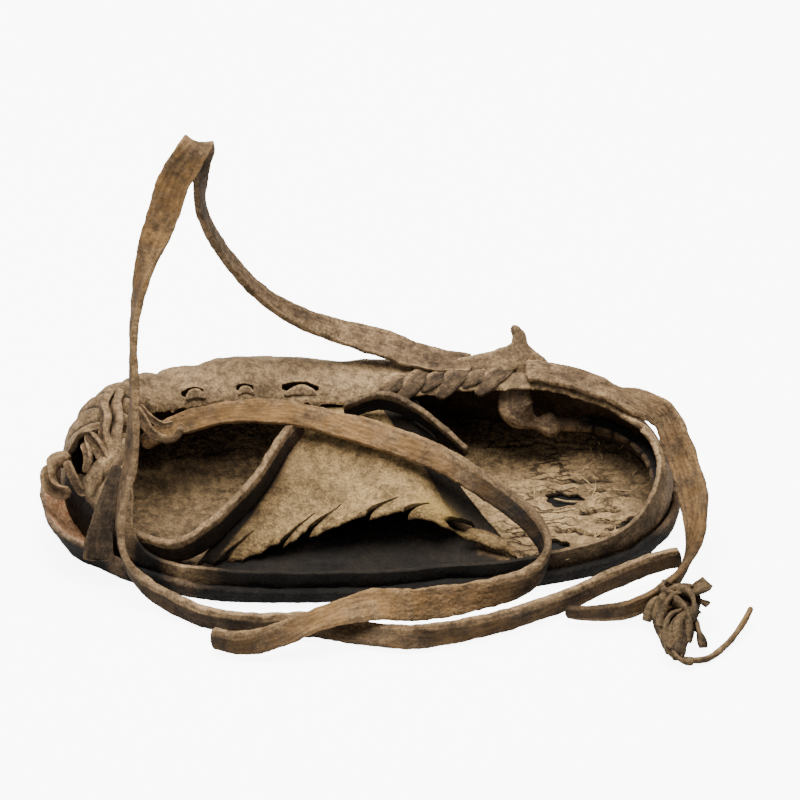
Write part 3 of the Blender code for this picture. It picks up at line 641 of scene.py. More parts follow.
top_relief = 0.55 * relief_noise(flat, 16.0, 6.0) + 0.22 * relief_noise(flat, 3.4, 7.0)
grooves = relief_noise(flat * np.array([0.35, 1, 1]), 1.7, 9.0)
top_relief += heel * (0.25 * grooves + 0.5 * crack_lips - crack_depth)
top_relief += toe * 0.4 * relief_noise(flat, 2.0, 11.0) + 0.9 * near_wall - 0.7 * hole_edge
base = ground(x) + INSOLE_BASE
low = np.stack([x, y, base], axis=-1)
high = np.stack([x, y, base + INSOLE_THICK + np.maximum(top_relief, -INSOLE_THICK + 0.5)], axis=-1)
flap_side, flap_toe, flap_throat = np.array(UNDER_FLAP).T
ragged = 5 * relief_noise(flat, 7.0, 13.0)
# The insole is painted in shade under the flap
under_flap = smooth_step((x + ragged - np.interp(y, flap_side, flap_toe)) / 14)
under_flap *= smooth_step((np.interp(y, flap_side, flap_throat) + 4 - x - ragged) / 18)
# Darker towards the toe's near side, and painted shade at the heel end beside the wall
toe_darkening = toe * (0.15 + 0.4 * falls(y, 8, 24))
heel_shade = 0.55 * smooth_step((x + 0.35 * y + ragged - 90) / 16)
insole_worn = heel * (0.35 + 0.5 * crack_lips + 0.4 * relief_noise(flat, 9.0, 3.0))
insole_soil_and_shade = 0.8 * crack_depth + 0.5 * hole_edge + under_flap + toe_darkening + heel_shade
insole_masks = {
    "worn": (np.clip(insole_worn, 0, 1), 0.0),
    "soiled": (np.clip(insole_soil_and_shade, 0, 1), 1.0),
    "cracked": (np.clip(0.75 * heel + 0.2 * toe, 0, 1), 0.0),
}
insole_material, tree, shader, look = hide_material(
    "insole_hide", (0.05, 0.031, 0.015), (0.2, 0.128, 0.062), (0.39, 0.265, 0.13), 0.0009,
    Dusty=0.75, **{"Mottle Scale": 120.0, "Grain Scale": 900.0},
)
net_inputs = {"Scale": 190.0, "Stretch": 0.2, "Width": 0.07}
net = node(tree, "ShaderNodeGroup", net_inputs, node_tree=cracks_group()).outputs["Crack"]
coords = object_place(tree)
patches = ramp(tree, noise_value(tree, coords, 45.0), 0.42, 0.58)
broken = reckon(tree, "MULTIPLY", net, patches, attribute(tree, "cracked"))
height = reckon(tree, "SUBTRACT", look["Height"], reckon(tree, "MULTIPLY", broken, 1.6))
set_looks(tree, shader, tint(tree, broken, look["Color"], CRACK_COLOUR), height, 0.0011, 1.0)
insole = add_sheet("insole_sheet", low, high, all_kept(inside), insole_material, insole_masks)
settle(insole, "insole_hide", "insole")

# Upper
# One hide wall drawn up round the foot: it stands on the sole inside the turned-up edge, rolls
# inward at the right rim, where slits were cut for a lacing, and is gathered in pleats at the toe.
WALL_LIFT = 0.15
CURL_LATE = 2.0
PLEAT_START = 0.3
WALL_STEPS = 25
WALL_STRETCHES = (
    (0, 2.2, 0.036), (2.2, 2.8, 0.016), (2.8, 5.9, 0.03), (5.9, 10.2, 0.0145), (10.2, 17, 0.045),
)
LEVEL_STRETCHES = (
    (0, 0.3, 0.03), (0.3, 0.84, 0.0165), (0.84, 0.9165, 0.0085), (0.9235, 0.99, 0.0083),
    (0.99, 1.0001, 0.0025),
)
# The gathers at the toe, one row for each fold: its place from the toe right section and its half
# width, in sections, and its height at the rim
PLEATS = (
    (0.10, 0.24, 1.8), (0.58, 0.24, 2.8), (1.06, 0.24, 3.2), (1.54, 0.24, 3.0), (2.02, 0.24, 3.4),
    (2.50, 0.24, 3.0), (2.98, 0.24, 3.2), (3.46, 0.24, 2.6), (3.94, 0.24, 1.8),
)
# The slits along the right rim: place round the foot, half length in sections, how wide they gape
RIM_SLITS = ((5.56, 0.17, 2.0), (4.92, 0.13, 1.3), (4.40, 0.17, 2.2))
SLIT_LEVEL = 0.92
# Holes through the wall, by place round the foot and level: the mouth between two gathers at the
# toe tip, and two lace holes beside the ear
WALL_HOLES = ((8.46, 0.66, 0.36, 0.20), (3.10, 0.85, 0.05, 0.03), (2.76, 0.76, 0.045, 0.032))
# Creases in the wall, one row each: both ends by place and level, half width and depth, which is
# negative for a ridge
WALL_CREASES = (
    (3.9, 0.62, 5.0, 0.66, 3.5, 0.9),
    (4.6, 0.74, 5.5, 0.70, 2.8, -0.8),
    (5.1, 0.30, 5.5, 0.82, 3.0, 1.0),
    (5.9, 0.35, 5.75, 0.85, 2.6, 1.2),
    (6.35, 0.30, 6.2, 0.90, 2.4, 1.1),
    (3.3, 0.25, 3.6, 0.75, 3.2, 0.9),
    (2.2, 0.30, 2.45, 0.62, 2.4, 1.1),
    (1.5, 0.25, 1.7, 0.80, 2.6, 0.9),
    (0.6, 0.20, 0.9, 0.85, 2.6, 1.1),
    (16.3, 0.2, 16.6, 0.9, 2.0, 0.8),
    (7.2, 0.30, 7.3, 0.62, 2.4, 0.9),
    (2.9, 0.08, 3.15, 0.62, 3.6, 3.0),
    (3.5, 0.44, 4.6, 0.28, 3.8, 2.6),
    (4.3, 0.04, 4.05, 0.50, 3.0, 2.8),
    (4.8, 0.10, 5.2, 0.60, 3.6, -2.0),
    (5.7, 0.04, 5.4, 0.60, 3.2, 3.0),
    (1.9, 0.06, 2.2, 0.55, 3.0, 2.6),
    (0.9, 0.10, 1.25, 0.60, 2.8, 2.2),
    (6.3, 0.06, 6.6, 0.55, 2.8, 2.4),
)
AT_MM, LEVEL_MM = 37.0, 58.0
# Places round the foot: a tear in the heel's rim, the dirty end of the lacing, where the rolled hide is
# painted paler as light against the tie's shadow and where it is kept darker, the pleats and the shadow under
# the toe cap
TEAR_AT, LACING_END_AT, PALE_AT, GREY_AT = 0.42, 2.43, 3.4, 5.4
PLEATED_FROM, PLEATED_TO = 6.3, 10.3
CAP_FROM, CAP_TO = 8.1, 10.6


def pleat_rise(at):
    """The height of the toe's gathers at places round the foot: round fingers with sharp grooves."""
    total = np.zeros_like(at)
    for place, span, rise in PLEATS:
        away = np.clip(np.abs(at - ROW["toe right"] - place) / span, 0, 1)
        total += rise * (0.5 + 0.5 * np.cos(np.pi * away)) ** 0.7
    return total


def wall_points(at, level, offset):
    """Places on the hide wall: round the foot, up the wall from 0 to 1, and out from its middle."""
    at, level = np.broadcast_arrays(np.asarray(at, float), np.asarray(level, float))
    row = section(at)
    flare, curl = np.radians(row["flare"]), np.radians(row["curl"])
    part = np.linspace(0, 1, WALL_STEPS)
    slope = -flare[..., None] + (flare + curl)[..., None] * (level[..., None] * part) ** CURL_LATE
    weight = np.full(WALL_STEPS, 1 / (WALL_STEPS - 1))
    weight[[0, -1]] /= 2
    inward = row["wall"] * level * (np.sin(slope) @ weight)
    upward = row["wall"] * level * (np.cos(slope) @ weight)
    end = slope[..., -1]
    offset = offset + pleat_rise(at) * rises(level, PLEAT_START, 1 - PLEAT_START)
    away = offset * np.cos(end) - inward
    foot = ground(row["x"]) + SOLE_THICK + GAP + WALL_LIFT
    x = row["x"] + away * row["out"][..., 0]
    y = row["y"] + away * row["out"][..., 1]
    return np.stack([x, y, foot + upward + offset * np.sin(end)], axis=-1)


at, level = np.meshgrid(places(WALL_STRETCHES), places(LEVEL_STRETCHES), indexing="ij")
slit_row = np.searchsorted(places(LEVEL_STRETCHES), SLIT_LEVEL) - 1
above = np.where(np.arange(level.shape[1]) > slit_row, 1, -1)
gape, in_slit = np.zeros(at.shape), np.zeros(len(at), bool)
for place, half, wide in RIM_SLITS:
    bow = np.clip(1 - ((at - place) / half) ** 2, 0, 1)
    gape += wide * bow
    in_slit |= bow[:, 0] > 0.02
slit_near = np.exp(-np.abs(level - SLIT_LEVEL) * LEVEL_MM / 2.2)
slit_lip = gape * slit_near
level = level + above * slit_lip * np.where(above > 0, 0.35, 0.65) / LEVEL_MM
ring_turn = 2 * np.pi * at / len(LAST)
ring_place = np.stack([40 * np.cos(ring_turn), 40 * np.sin(ring_turn), 0 * at], axis=-1)
rim_ragged = 0.016 * relief_noise(ring_place[:, 0], 1.5, 4.0, 4)
rim_ragged -= 0.07 * close_to(at[:, 0], TEAR_AT, 0.05)
level = level * (1 + rim_ragged[:, None] * level**8)
inside, hole_lip = np.zeros(at.shape, bool), np.zeros(at.shape)
for seed, hole in enumerate(WALL_HOLES):
    at, level, within, away = cut_hole(at, level, hole, 0.14, seed + 2.0)
    inside |= within
    hole_lip = np.maximum(hole_lip, np.exp(-7.0 * np.maximum(away - 1, 0) * hole[2] / 0.3))
keep = all_kept(inside, True)
keep[:, slit_row] &= ~(in_slit & np.roll(in_slit, -1))
rim_round = np.sqrt(1 - 0.8 * np.clip((level - 0.97) / 0.03, 0, 1) ** 2)
middle = wall_points(at, level, 0.0)
creased = troughs(at, level, WALL_CREASES, (AT_MM, LEVEL_MM))
swell = 0.9 * relief_noise(middle, 26.0, 12.0) * smooth_step(level / 0.25)
bend = -creased + (swell + 0.35 * relief_noise(middle, 8.0, 14.0))
bend += np.where(above > 0, -0.5, 0.85) * slit_lip + 0.8 * hole_lip * (hole_lip > 0.05)
low = wall_points(at, level, bend - WALL_THICK / 2 * rim_round)
high = wall_points(at, level, bend + WALL_THICK / 2 * rim_round)
fine = 0.16 * relief_noise(middle, 2.6, 15.0)
pleats = pleat_rise(at)
in_pleats = rises(at, PLEATED_FROM, 0.3) * falls(at, PLEATED_TO, 0.3) * rises(level, 0.35, 0.3)
groove = in_pleats * falls(pleats, 1.2, 1.2)
rim = rises(level, 0.955, 0.04)
worn_noise = relief_noise(middle, 7.0, 17.0)
rolled = rises(level, 0.6, 0.2)
wall_wear_and_light = 0.75 * rim + 0.5 * slit_lip + 0.25 * in_pleats * pleats / 3 + 0.35 * worn_noise
# Painted light on the rolled hide where the tie's shadow falls, and darker further towards the toe
paler = 0.9 * close_to(at, PALE_AT, 0.8) - 0.5 * close_to(at, GREY_AT, 0.7)
wall_wear_and_light = np.clip(wall_wear_and_light + rolled * paler, 0, 1)
# The wall's left side is painted near black as shade, lifted towards the heel and at the lit patch, which is
# painted paler
near_side = shaded_side(at)
worn_and_lit = close_to(at, LIT_PATCH_AT, 0.24) * smooth_step((worn_noise + 0.7) / 0.5)
near_side *= (1 - worn_and_lit) * (1 - 0.45 * rises(middle[..., 0], 58, 24))
wall_wear_and_light = np.maximum(wall_wear_and_light * (1 - 0.9 * near_side), 0.6 * worn_and_lit)
# Painted shade in the pleats' grooves and in the creases; darker towards the wall's foot and round the holes
wall_soil_and_shade = 0.9 * groove + 0.6 * falls(level, 0.25, 0.25) + 0.3 * hole_lip - 0.2 * rim
wall_soil_and_shade += 0.6 * close_to(at, LACING_END_AT, 0.13) * rises(level, 0.78, 0.1)
wall_soil_and_shade += 0.28 * np.clip(creased, 0, 1.5)
under_cap = rises(at, CAP_FROM, 0.3) * falls(at, CAP_TO, 0.2) * falls(level, 0.52, 0.12)
bare_rim = 0.5 * rim * (1 - near_side)
# The wall's inside is painted dark as shade, less at the rim and at the ball's right side
inner_shade = 0.72 + 0.23 * near_side - bare_rim - 0.4 * close_to(at, GREY_AT - 0.1, 0.5)
upper_masks = {
    "worn": (wall_wear_and_light, bare_rim),
    "soiled": (
        np.clip(np.maximum(wall_soil_and_shade, np.maximum(1.02 * near_side, under_cap)), 0, 1),
        np.clip(inner_shade, 0, 1),
    ),
}
wall_material, *_ = hide_material(
    "wall_hide", (0.07, 0.046, 0.025), (0.168, 0.109, 0.056), (0.335, 0.228, 0.118), 0.0006, Dusty=0.7
)
upper = add_sheet("hide_wall", low, high, keep, wall_material, upper_masks, (fine, fine), True)
settle(upper, "wall_hide", "upper")

# Instep flap
# A domed tongue of the same hide over the instep. Its right edge is tucked under the rolled rim,
# and its free left edge is cut in slanting tabs for a lacing that no longer runs through them.
FLAP_THICK = 2.2
FLAP_TUCK, FLAP_TUCK_DROP = 7.0, 2.5
FLAP_SLANT = 7.0
FLAP_TOE_RIGHT, FLAP_TOE_LEFT, FLAP_TOE_BOW = -20.0, -60.0, 3.0
FLAP_THROAT_RIGHT, FLAP_THROAT_LEFT, FLAP_THROAT_BOW = 14.0, 58.0, 1.7
FLAP_SLITS = (0.10, 0.31, 0.40, 0.59, 0.70)
FLAP_SLIT_WIDE, FLAP_SLIT_FROM = 0.012, 0.935
TAB_SHEAR, TAB_SHEAR_FROM = 0.10, 0.91
TAB_CURL, TAB_DROOP = 3.4, 1.2
TAB_COLUMNS, FLAP_ROWS = 26, 112
FLAP_HOLE = (0.83, 0.95, 0.04, 0.042)
# The flap's sections from its toe edge to its throat edge: share of the way, and side place and
# height of its crest and of its free left edge
FLAP = (
    (0.00, -5, 29.0, -38, 9.6),
    (0.22, -3, 32.5, -36, 10.6),
    (0.45, -2, 34.0, -30, 18.0),
    (0.60, -3, 33.5, -27.5, 22.5),
    (0.74, -4, 31.0, -27.5, 22.5),
    (0.88, -6, 27.0, -31, 14.5),
    (1.00, -8, 23.0, -36, 9.6),
)
# Creases in the flap, one row each: both ends by share along and across, half width and depth
FLAP_CREASES = (
    (0.30, 0.42, 0.62, 0.50, 3.4, 0.8),
    (0.70, 0.40, 0.86, 0.72, 2.6, 1.2),
    (0.80, 0.38, 0.95, 0.66, 2.2, -0.9),
    (0.12, 0.45, 0.24, 0.80, 2.6, 0.9),
    (0.42, 0.70, 0.66, 0.74, 2.6, -0.7),
)
SHARE_MM, ACROSS_MM = 90.0, 85.0
# The stain at the free edge, and the middle of the lit part, round which the flap is painted in shade, by
# share along and across
STAIN_ALONG, STAIN_ACROSS, STAIN_HALF, STAIN_STRENGTH = 0.80, 0.93, 0.06, 0.8
UNSHADED_ALONG, UNSHADED_ACROSS = 0.62, 0.78


def open_curve(values, at):
    """Values on an open curve through the rows, at places counted in rows."""
    ends = np.concatenate([[2 * values[0] - values[1]], values, [2 * values[-1] - values[-2]]])
    row = np.clip(np.floor(at).astype(int), 0, len(values) - 2)
    return cubic(ends[row], ends[row + 1], ends[row + 2], ends[row + 3], at - row)


def rim_seat(x):
    """Where the flap passes under the rolled right rim: how far right, and how high."""
    at = np.linspace(ROW["seat right"], ROW["toe right"], 200)
    edge = [wall_points(at, 1.0, side * WALL_THICK / 2) for side in (-1, 1)]
    lowest = np.minimum(edge[0][:, 2], edge[1][:, 2])
    order = np.argsort(edge[0][:, 0])
    y = np.interp(x, edge[0][order, 0], edge[0][order, 1])
    z = np.interp(x, edge[0][order, 0], lowest[order])
    return y, z - GAP - FLAP_THICK / 2


def flap_points(share, across, offset):
    """Places on the instep flap: from its toe edge to its throat edge, from its right edge to its
    free left edge, and up from its middle."""
    slant = FLAP_SLANT * rises(across, 0.7, 0.3) * np.sin(np.pi * np.clip(share, 0, 1))
    bowed = np.maximum(across, 0)
    toe = FLAP_TOE_RIGHT + (FLAP_TOE_LEFT - FLAP_TOE_RIGHT) * bowed**FLAP_TOE_BOW
    throat = FLAP_THROAT_RIGHT + (FLAP_THROAT_LEFT - FLAP_THROAT_RIGHT) * bowed**FLAP_THROAT_BOW
    x = toe + (throat - toe) * share - slant
    table = np.array(FLAP)
    columns = open_curve(table[:, 1:], np.interp(share, table[:, 0], np.arange(len(table))))
    crest_y, crest_z, left_y, left_z = np.moveaxis(columns, -1, 0)
    seat_y, seat_z = rim_seat(x)
    ways = (
        (seat_y + FLAP_TUCK, seat_z - FLAP_TUCK_DROP), (seat_y, seat_z), (crest_y, crest_z), (left_y, left_z),
    )
    nodes = np.stack([np.stack(way, axis=-1) for way in ways])
    spot = across * 3
    row = np.clip(np.floor(spot).astype(int), 0, 2)
    ends = np.concatenate([[2 * nodes[0] - nodes[1]], nodes, [2 * nodes[3] - nodes[2]]])
    pick = [np.take_along_axis(ends, (row + k)[None, ..., None], axis=0)[0] for k in range(4)]
    y, z = np.moveaxis(cubic(*pick, spot - row), -1, 0)
    return np.stack([x, y, z + offset], axis=-1)


tab_ends = [0.0]
for slit in FLAP_SLITS:
    tab_ends += [slit - FLAP_SLIT_WIDE / 2, slit + FLAP_SLIT_WIDE / 2]
tab_ends.append(1.0)
tab_starts, tab_stops = tab_ends[::2], tab_ends[1::2]
share = np.concatenate([np.linspace(a, b, TAB_COLUMNS) for a, b in zip(tab_starts, tab_stops)])
tab_place = np.tile(np.linspace(0, 1, TAB_COLUMNS), len(tab_starts))
is_gap = np.arange(len(share) - 1) % TAB_COLUMNS == TAB_COLUMNS - 1
share, across = np.meshgrid(share, np.linspace(0, 1, FLAP_ROWS), indexing="ij")
share, across, inside, away = cut_hole(share, across, FLAP_HOLE, 0.16, 4.0)
keep = all_kept(inside)
keep &= ~(is_gap[:, None] & (across[:-1, 1:] > FLAP_SLIT_FROM))
free_edge = rises(across, FLAP_SLIT_FROM, 1 - FLAP_SLIT_FROM)
tab_lift = TAB_CURL * (tab_place[:, None] - 0.55) * free_edge * (1 - np.abs(share - 0.5))
tab_lift -= TAB_DROOP * free_edge**3
edge_wave = 0.02 * relief_noise(np.stack([share * 90, 0 * share, 0 * share], -1), 5.0, 6.0) * free_edge
inner = 1 - rises(across, TAB_SHEAR_FROM, 1 - TAB_SHEAR_FROM)
sheared = TAB_SHEAR * inner * rises(across, 0.6, 0.3)
share = share + sheared * np.sin(np.pi * np.clip(share, 0, 1)) ** 0.6
middle = flap_points(share, across + edge_wave, 0.0)
slack = 0.9 * relief_noise(middle, 22.0, 21.0) + 0.3 * relief_noise(middle, 7.0, 22.0)
bend = tab_lift - troughs(share, across, FLAP_CREASES, (SHARE_MM, ACROSS_MM))
bend += slack * rises(across, 0.36, 0.1)
edge_away = np.minimum(np.minimum(share * 0.9, (1 - share) * 0.9), 1 - across) * SHARE_MM
edge_round = np.sqrt(1 - 0.8 * np.clip(1 - edge_away / 1.4, 0, 1) ** 2)
low = flap_points(share, across + edge_wave, bend - FLAP_THICK / 2 * edge_round)
high = flap_points(share, across + edge_wave, bend + FLAP_THICK / 2 * edge_round)
fine = 0.14 * relief_noise(middle, 2.2, 24.0)
tab_edge = free_edge * np.maximum(np.exp(-tab_place / 0.08), np.exp(-(1 - tab_place) / 0.08))[:, None]
hole_lip = np.exp(-4.0 * np.maximum(away - 1, 0))
stain = close_to(share, STAIN_ALONG, STAIN_HALF) * close_to(across, STAIN_ACROSS, STAIN_HALF)
# Painted shade on the flap: its right part by the rim, all round its lit middle, its toe margin under the
# cross thong, its throat under the loop and its whole underside; also darker round the hole and the tabs'
# edges
flap_soil_and_shade = 0.7 * hole_lip + 0.45 * tab_edge + 0.8 * falls(across, 0.40, 0.08)
flap_soil_and_shade += 0.58 * (1 - close_to(share, UNSHADED_ALONG, 0.3) * close_to(across, UNSHADED_ACROSS, 0.28))
at_throat = smooth_step((share - 0.5 - 0.32 * across) / 0.1) * falls(across, 0.96, 0.06)
flap_soil_and_shade += 0.85 * falls(share, 0.13, 0.12) + 0.95 * at_throat
flap_masks = {
    "worn": (np.clip(0.6 * free_edge + 0.3 + 0.35 * relief_noise(middle, 10.0, 25.0), 0, 1), 0.2),
    "soiled": (np.clip(flap_soil_and_shade, 0, 1), 1.0),
    "stain": (stain, 0.0),
}
STAIN_COLOUR = (0.30, 0.20, 0.055, 1)
flap_material, tree, shader, look = hide_material(
    "flap_hide", (0.1, 0.064, 0.029), (0.25, 0.165, 0.073), (0.43, 0.29, 0.125), 0.0006,
    Dusty=0.75, **{"Mottle Scale": 75.0, "Grain Scale": 1300.0},
)
stained = reckon(tree, "MULTIPLY", attribute(tree, "stain"), STAIN_STRENGTH)
tree.links.new(tint(tree, stained, look["Color"], STAIN_COLOUR), shader.inputs["Base Color"])
flap = add_sheet("instep_tongue", low, high, keep, flap_material, flap_masks, (fine, fine))
settle(flap, "flap_hide", "instep_flap")

# Rim lacing
# A leather thong whipped over the right rim beside the ear: short slanting bars that pass through
# the lace holes, pulled tight so that each bar bends over the rolled edge.
BAR_WIDTH, BAR_THICK, BAR_HALF, BAR_BEND = 7.4, 1.5, 8.4, 13.0
BAR_FROM, BAR_TO, BAR_COUNT = 2.66, 3.62, 6
BAR_LEVEL, BAR_SEAT = 0.92, 0.3
BAR_SLANT, BAR_SWAY, BAR_SPREAD, BAR_SEED = -0.98, 0.26, 0.18, 4
STRIP_SIDES = 28
TAN_COLOUR = (0.25, 0.134, 0.0417, 1)
THONG_BUMP = 0.0006


def smooth_line(route, spacing):
    """Evenly spaced rows on a smooth line through a route, and how far along it each one is."""
    route = np.asarray(route, float)
    fine = open_curve(route, np.linspace(0, len(route) - 1, 40 * (len(route) - 1) + 1))
    walked = np.cumsum(np.linalg.norm(np.diff(fine[:, :3], axis=0, prepend=fine[:1, :3]), axis=1))
    run = np.linspace(0, walked[-1], max(int(walked[-1] / spacing), 8) + 1)
    return np.stack([np.interp(run, walked, column) for column in fine.T], axis=-1), run


def strip_line(rows, sideways, spacing):
    """The smooth line of a strip through rows of a place and more, with the way that its width lies."""
    rows = np.array(rows, float)
    sideways = np.broadcast_to(sideways, (len(rows), 3))
    return smooth_line(np.column_stack([rows[:, :3], sideways, rows[:, 3:]]), spacing)


def strip_rings(line, run, wide, thick, seed, sides=STRIP_SIDES, square=0.28, cup=0.5):
    """Rings round a strip of leather along a line: cut edges that wander, a cupped face and worn
    ends. Also the masks for its edges, its length and its width."""
    middles, across = line[:, :3], line[:, 3:6]
    along = unit(np.gradient(middles, axis=0))
    across = unit(across - np.sum(across * along, axis=1, keepdims=True) * along)
    face = np.cross(along, across)
    turn = 2 * np.pi * (np.arange(sides) + 0.5) / sides
    flat = np.cos(turn)
    deep = np.sign(np.sin(turn)) * (1 - np.abs(flat) ** (2 / square)) ** (square / 2)

    def sway(size, lane):
        return relief_noise(np.stack([run, 0 * run + 40 * lane, 0 * run], axis=-1), size, seed)[:, None]

    edge_right = 1 + 0.10 * sway(15, 0) + 0.06 * sway(4, 1)
    edge_left = 1 + 0.10 * sway(15, 2) + 0.06 * sway(4, 3)
    end = np.minimum(run, run[-1] - run)[:, None] / (0.6 * np.min(thick))
    end = np.sqrt(np.clip(1 - (1 - np.clip(end, 0.08, 1)) ** 2, 0, 1))
    wide, thick = [np.broadcast_to(size, run.shape)[:, None] for size in (wide, thick)]
    aside = flat * end * wide / 2 * np.where(flat > 0, edge_right, edge_left)
    lift = deep * end * thick / 2 * (1 + 0.15 * sway(6, 4)) + cup * thick * (flat**2 - 0.4) * sway(24, 5)
    rings = middles[:, None] + aside[..., None] * across[:, None] + lift[..., None] * face[:, None]
    first, last = [np.repeat(middles[k, None, None], sides, axis=1) for k in (0, -1)]
    rings = np.concatenate([first, rings, last])
    long_run = np.concatenate([run[:1], run, run[-1:]])[:, None] * MM
    masks = {"run": long_run, "across": flat * 0.5, "worn": np.clip(np.abs(flat) ** 5 * 0.9, 0, 1)}
    return rings, masks


def add_strip(name, line, run, wide, thick, material, seed, tan=0.3, soiled=0.0, lit_top=0.0, **form):
    """A strip of leather as a piece. How tan it is and how dark with soil and painted shade may change along
    it, and how strongly its upper half is painted lit over a lower half painted in shade."""
    rings, masks = strip_rings(line, run, wide, thick, seed, **form)
    ends = [0, *range(len(run)), len(run) - 1]
    tan, soiled, lit_top = [np.broadcast_to(look, run.shape)[ends][:, None] for look in (tan, soiled, lit_top)]
    # Painted light on the upper half, painted shade on the lower half
    upper = smooth_step((2 * masks["across"] - 0.35) / 0.2)
    masks["tan"] = tan * (1 - 0.7 * lit_top * upper)
    masks["worn"] = np.clip(masks["worn"] * (1 - lit_top) + lit_top * upper, 0, 1)
    masks["soiled"] = np.clip(soiled + 0.75 * lit_top * (1 - upper), 0, 1)
    rough = 0.10 * relief_noise(rings, 1.5, seed + 1.0) + 0.14 * relief_noise(rings, 5.0, seed + 2.0)
    return add_rings(name, rings, material, masks, rough)


def thong_leather(name, deep, hide, dust, dusty):
    """Thong leather: dusty hide with streaks along the strip, and tan where the grain side is clean."""
    made, tree, shader, look = hide_material(
        name, deep, hide, dust, THONG_BUMP, Dusty=dusty, **{"Mottle Scale": 130.0}
    )
    along = reckon(tree, "MULTIPLY", attribute(tree, "run"), 0.12)
    aside = reckon(tree, "MULTIPLY", attribute(tree, "across"), 0.009)
    lane = node(tree, "ShaderNodeCombineXYZ", {"X": along, "Y": aside}).outputs[0]
    streaks = noise_value(tree, lane, 900.0, 4.0, 0.6)
    coords = object_place(tree)
    patches = ramp(tree, noise_value(tree, coords, 110.0, 6.0, 0.65), 0.36, 0.62, 0.15, 1.0)
    clean = reckon(tree, "MULTIPLY", attribute(tree, "tan"), patches)
    colour = tint(tree, clean, look["Color"], tint(tree, 0.55, TAN_COLOUR, look["Color"]))
    colour = tint(tree, clean, colour, tint(tree, 0.45, colour, TAN_COLOUR))
    colour = tint(tree, 1.0, colour, ramp(tree, streaks, 0.3, 0.7, 0.6, 1.22), "MULTIPLY")
    height = reckon(tree, "ADD", look["Height"], reckon(tree, "MULTIPLY", streaks, 0.8))
    set_looks(tree, shader, colour, height, THONG_BUMP)
    return made


thong_material = thong_leather(
    "thong_leather", (0.026, 0.016, 0.009), (0.115, 0.068, 0.033), (0.295, 0.196, 0.102), 0.6
)


def growth_tree(name, *inputs):
    """An empty Geometry Nodes tree with its named inputs, and the sockets that bring them."""
    mesh = ("Geometry", "Geometry")
    return new_group(name, "GeometryNodeTree", (mesh, *inputs), (mesh,))


def grow(name, tree, base, values):
    """The plain mesh that a tree makes from a base mesh, as a new piece."""
    host = add_object(name + "_base", base)
    modifier = host.modifiers.new(name, "NODES")
    modifier.node_group = tree
    for item in tree.interface.items_tree:
        if item.in_out == "INPUT" and item.name in values:
            modifier[item.identifier] = values[item.name]
    seen = host.evaluated_get(bpy.context.evaluated_depsgraph_get())
    piece = add_object(name, bpy.data.meshes.new_from_object(seen))
    host.modifiers.remove(modifier)
    bpy.data.objects.remove(host)
    return piece


def named(tree, name, kind="FLOAT"):
    return node(tree, "GeometryNodeInputNamedAttribute", {"Name": name}, data_type=kind).outputs[0]


def random_number(tree, low, high, seed):
    inputs = {2: low, 3: high, "Seed": seed}
    return node(tree, "FunctionNodeRandomValue", inputs, data_type="FLOAT").outputs[1]


def turned(tree, rotation, axis, angle):
    """A rotation with a further turn about one of its own axes."""
    twist = node(tree, "FunctionNodeAxisAngleToRotation", {"Axis": axis, "Angle": angle}).outputs[0]
    inputs = {"Rotation": rotation, "Rotate By": twist}
    return node(tree, "FunctionNodeRotateRotation", inputs, rotation_space="LOCAL").outputs[0]


def copies(tree, points, source, facing, smallest, largest, seed):
    """Copies of an object on points, each turned its own way and with its own size."""
    mesh = node(tree, "GeometryNodeObjectInfo", {"Object": source}).outputs["Geometry"]
    inputs = {"Points": points, "Instance": mesh, "Rotation": facing}
    inputs["Scale"] = random_number(tree, smallest, largest, seed)
    return node(tree, "GeometryNodeInstanceOnPoints", inputs).outputs[0]


def finish_tree(tree, geometry, material):
    """Ends a tree with real, smooth geometry that has its material."""
    steps = {"RealizeInstances": {}, "SetShadeSmooth": {}, "SetMaterial": {"Material": material}}
    for step, inputs in steps.items():
        geometry = node(tree, "GeometryNode" + step, {"Geometry": geometry, **inputs}).outputs[0]
    node(tree, "NodeGroupOutput", {"Geometry": geometry})


tree, given = growth_tree(
    "whipped bars", ("Bar", "Object"),
    ("Slant", "Float", 0.6), ("Sway", "Float", 0.2), ("Spread", "Float", 0.15), ("Seed", "Int", 0),
)
outward, along = [named(tree, label, "FLOAT_VECTOR") for label in ("outward", "along")]
axes = {"Primary Axis": outward, "Secondary Axis": along}
facing = node(tree, "FunctionNodeAxesToRotation", axes, primary_axis="Y", secondary_axis="Z").outputs[0]
sway = random_number(tree, reckon(tree, "MULTIPLY", given["Sway"], -1.0), given["Sway"], given["Seed"])
facing = turned(tree, facing, (0, 1, 0), reckon(tree, "ADD", given["Slant"], sway))
smallest, largest = [reckon(tree, way, 1.0, given["Spread"]) for way in ("SUBTRACT", "ADD")]
bars = copies(tree, given["Geometry"], given["Bar"], facing, smallest, largest, given["Seed"])
finish_tree(tree, bars, thong_material)

bar_x = np.linspace(-BAR_HALF, BAR_HALF, 9)
bar_route = np.stack([bar_x, -(bar_x**2) / (2 * BAR_BEND), 0 * bar_x], axis=-1)
bar_line, bar_run = strip_line(bar_route, (0, 0, 1), 0.7)
bar_width = BAR_WIDTH * (0.3 + 0.7 * np.sin(np.pi * bar_run / bar_run[-1]) ** 0.6)
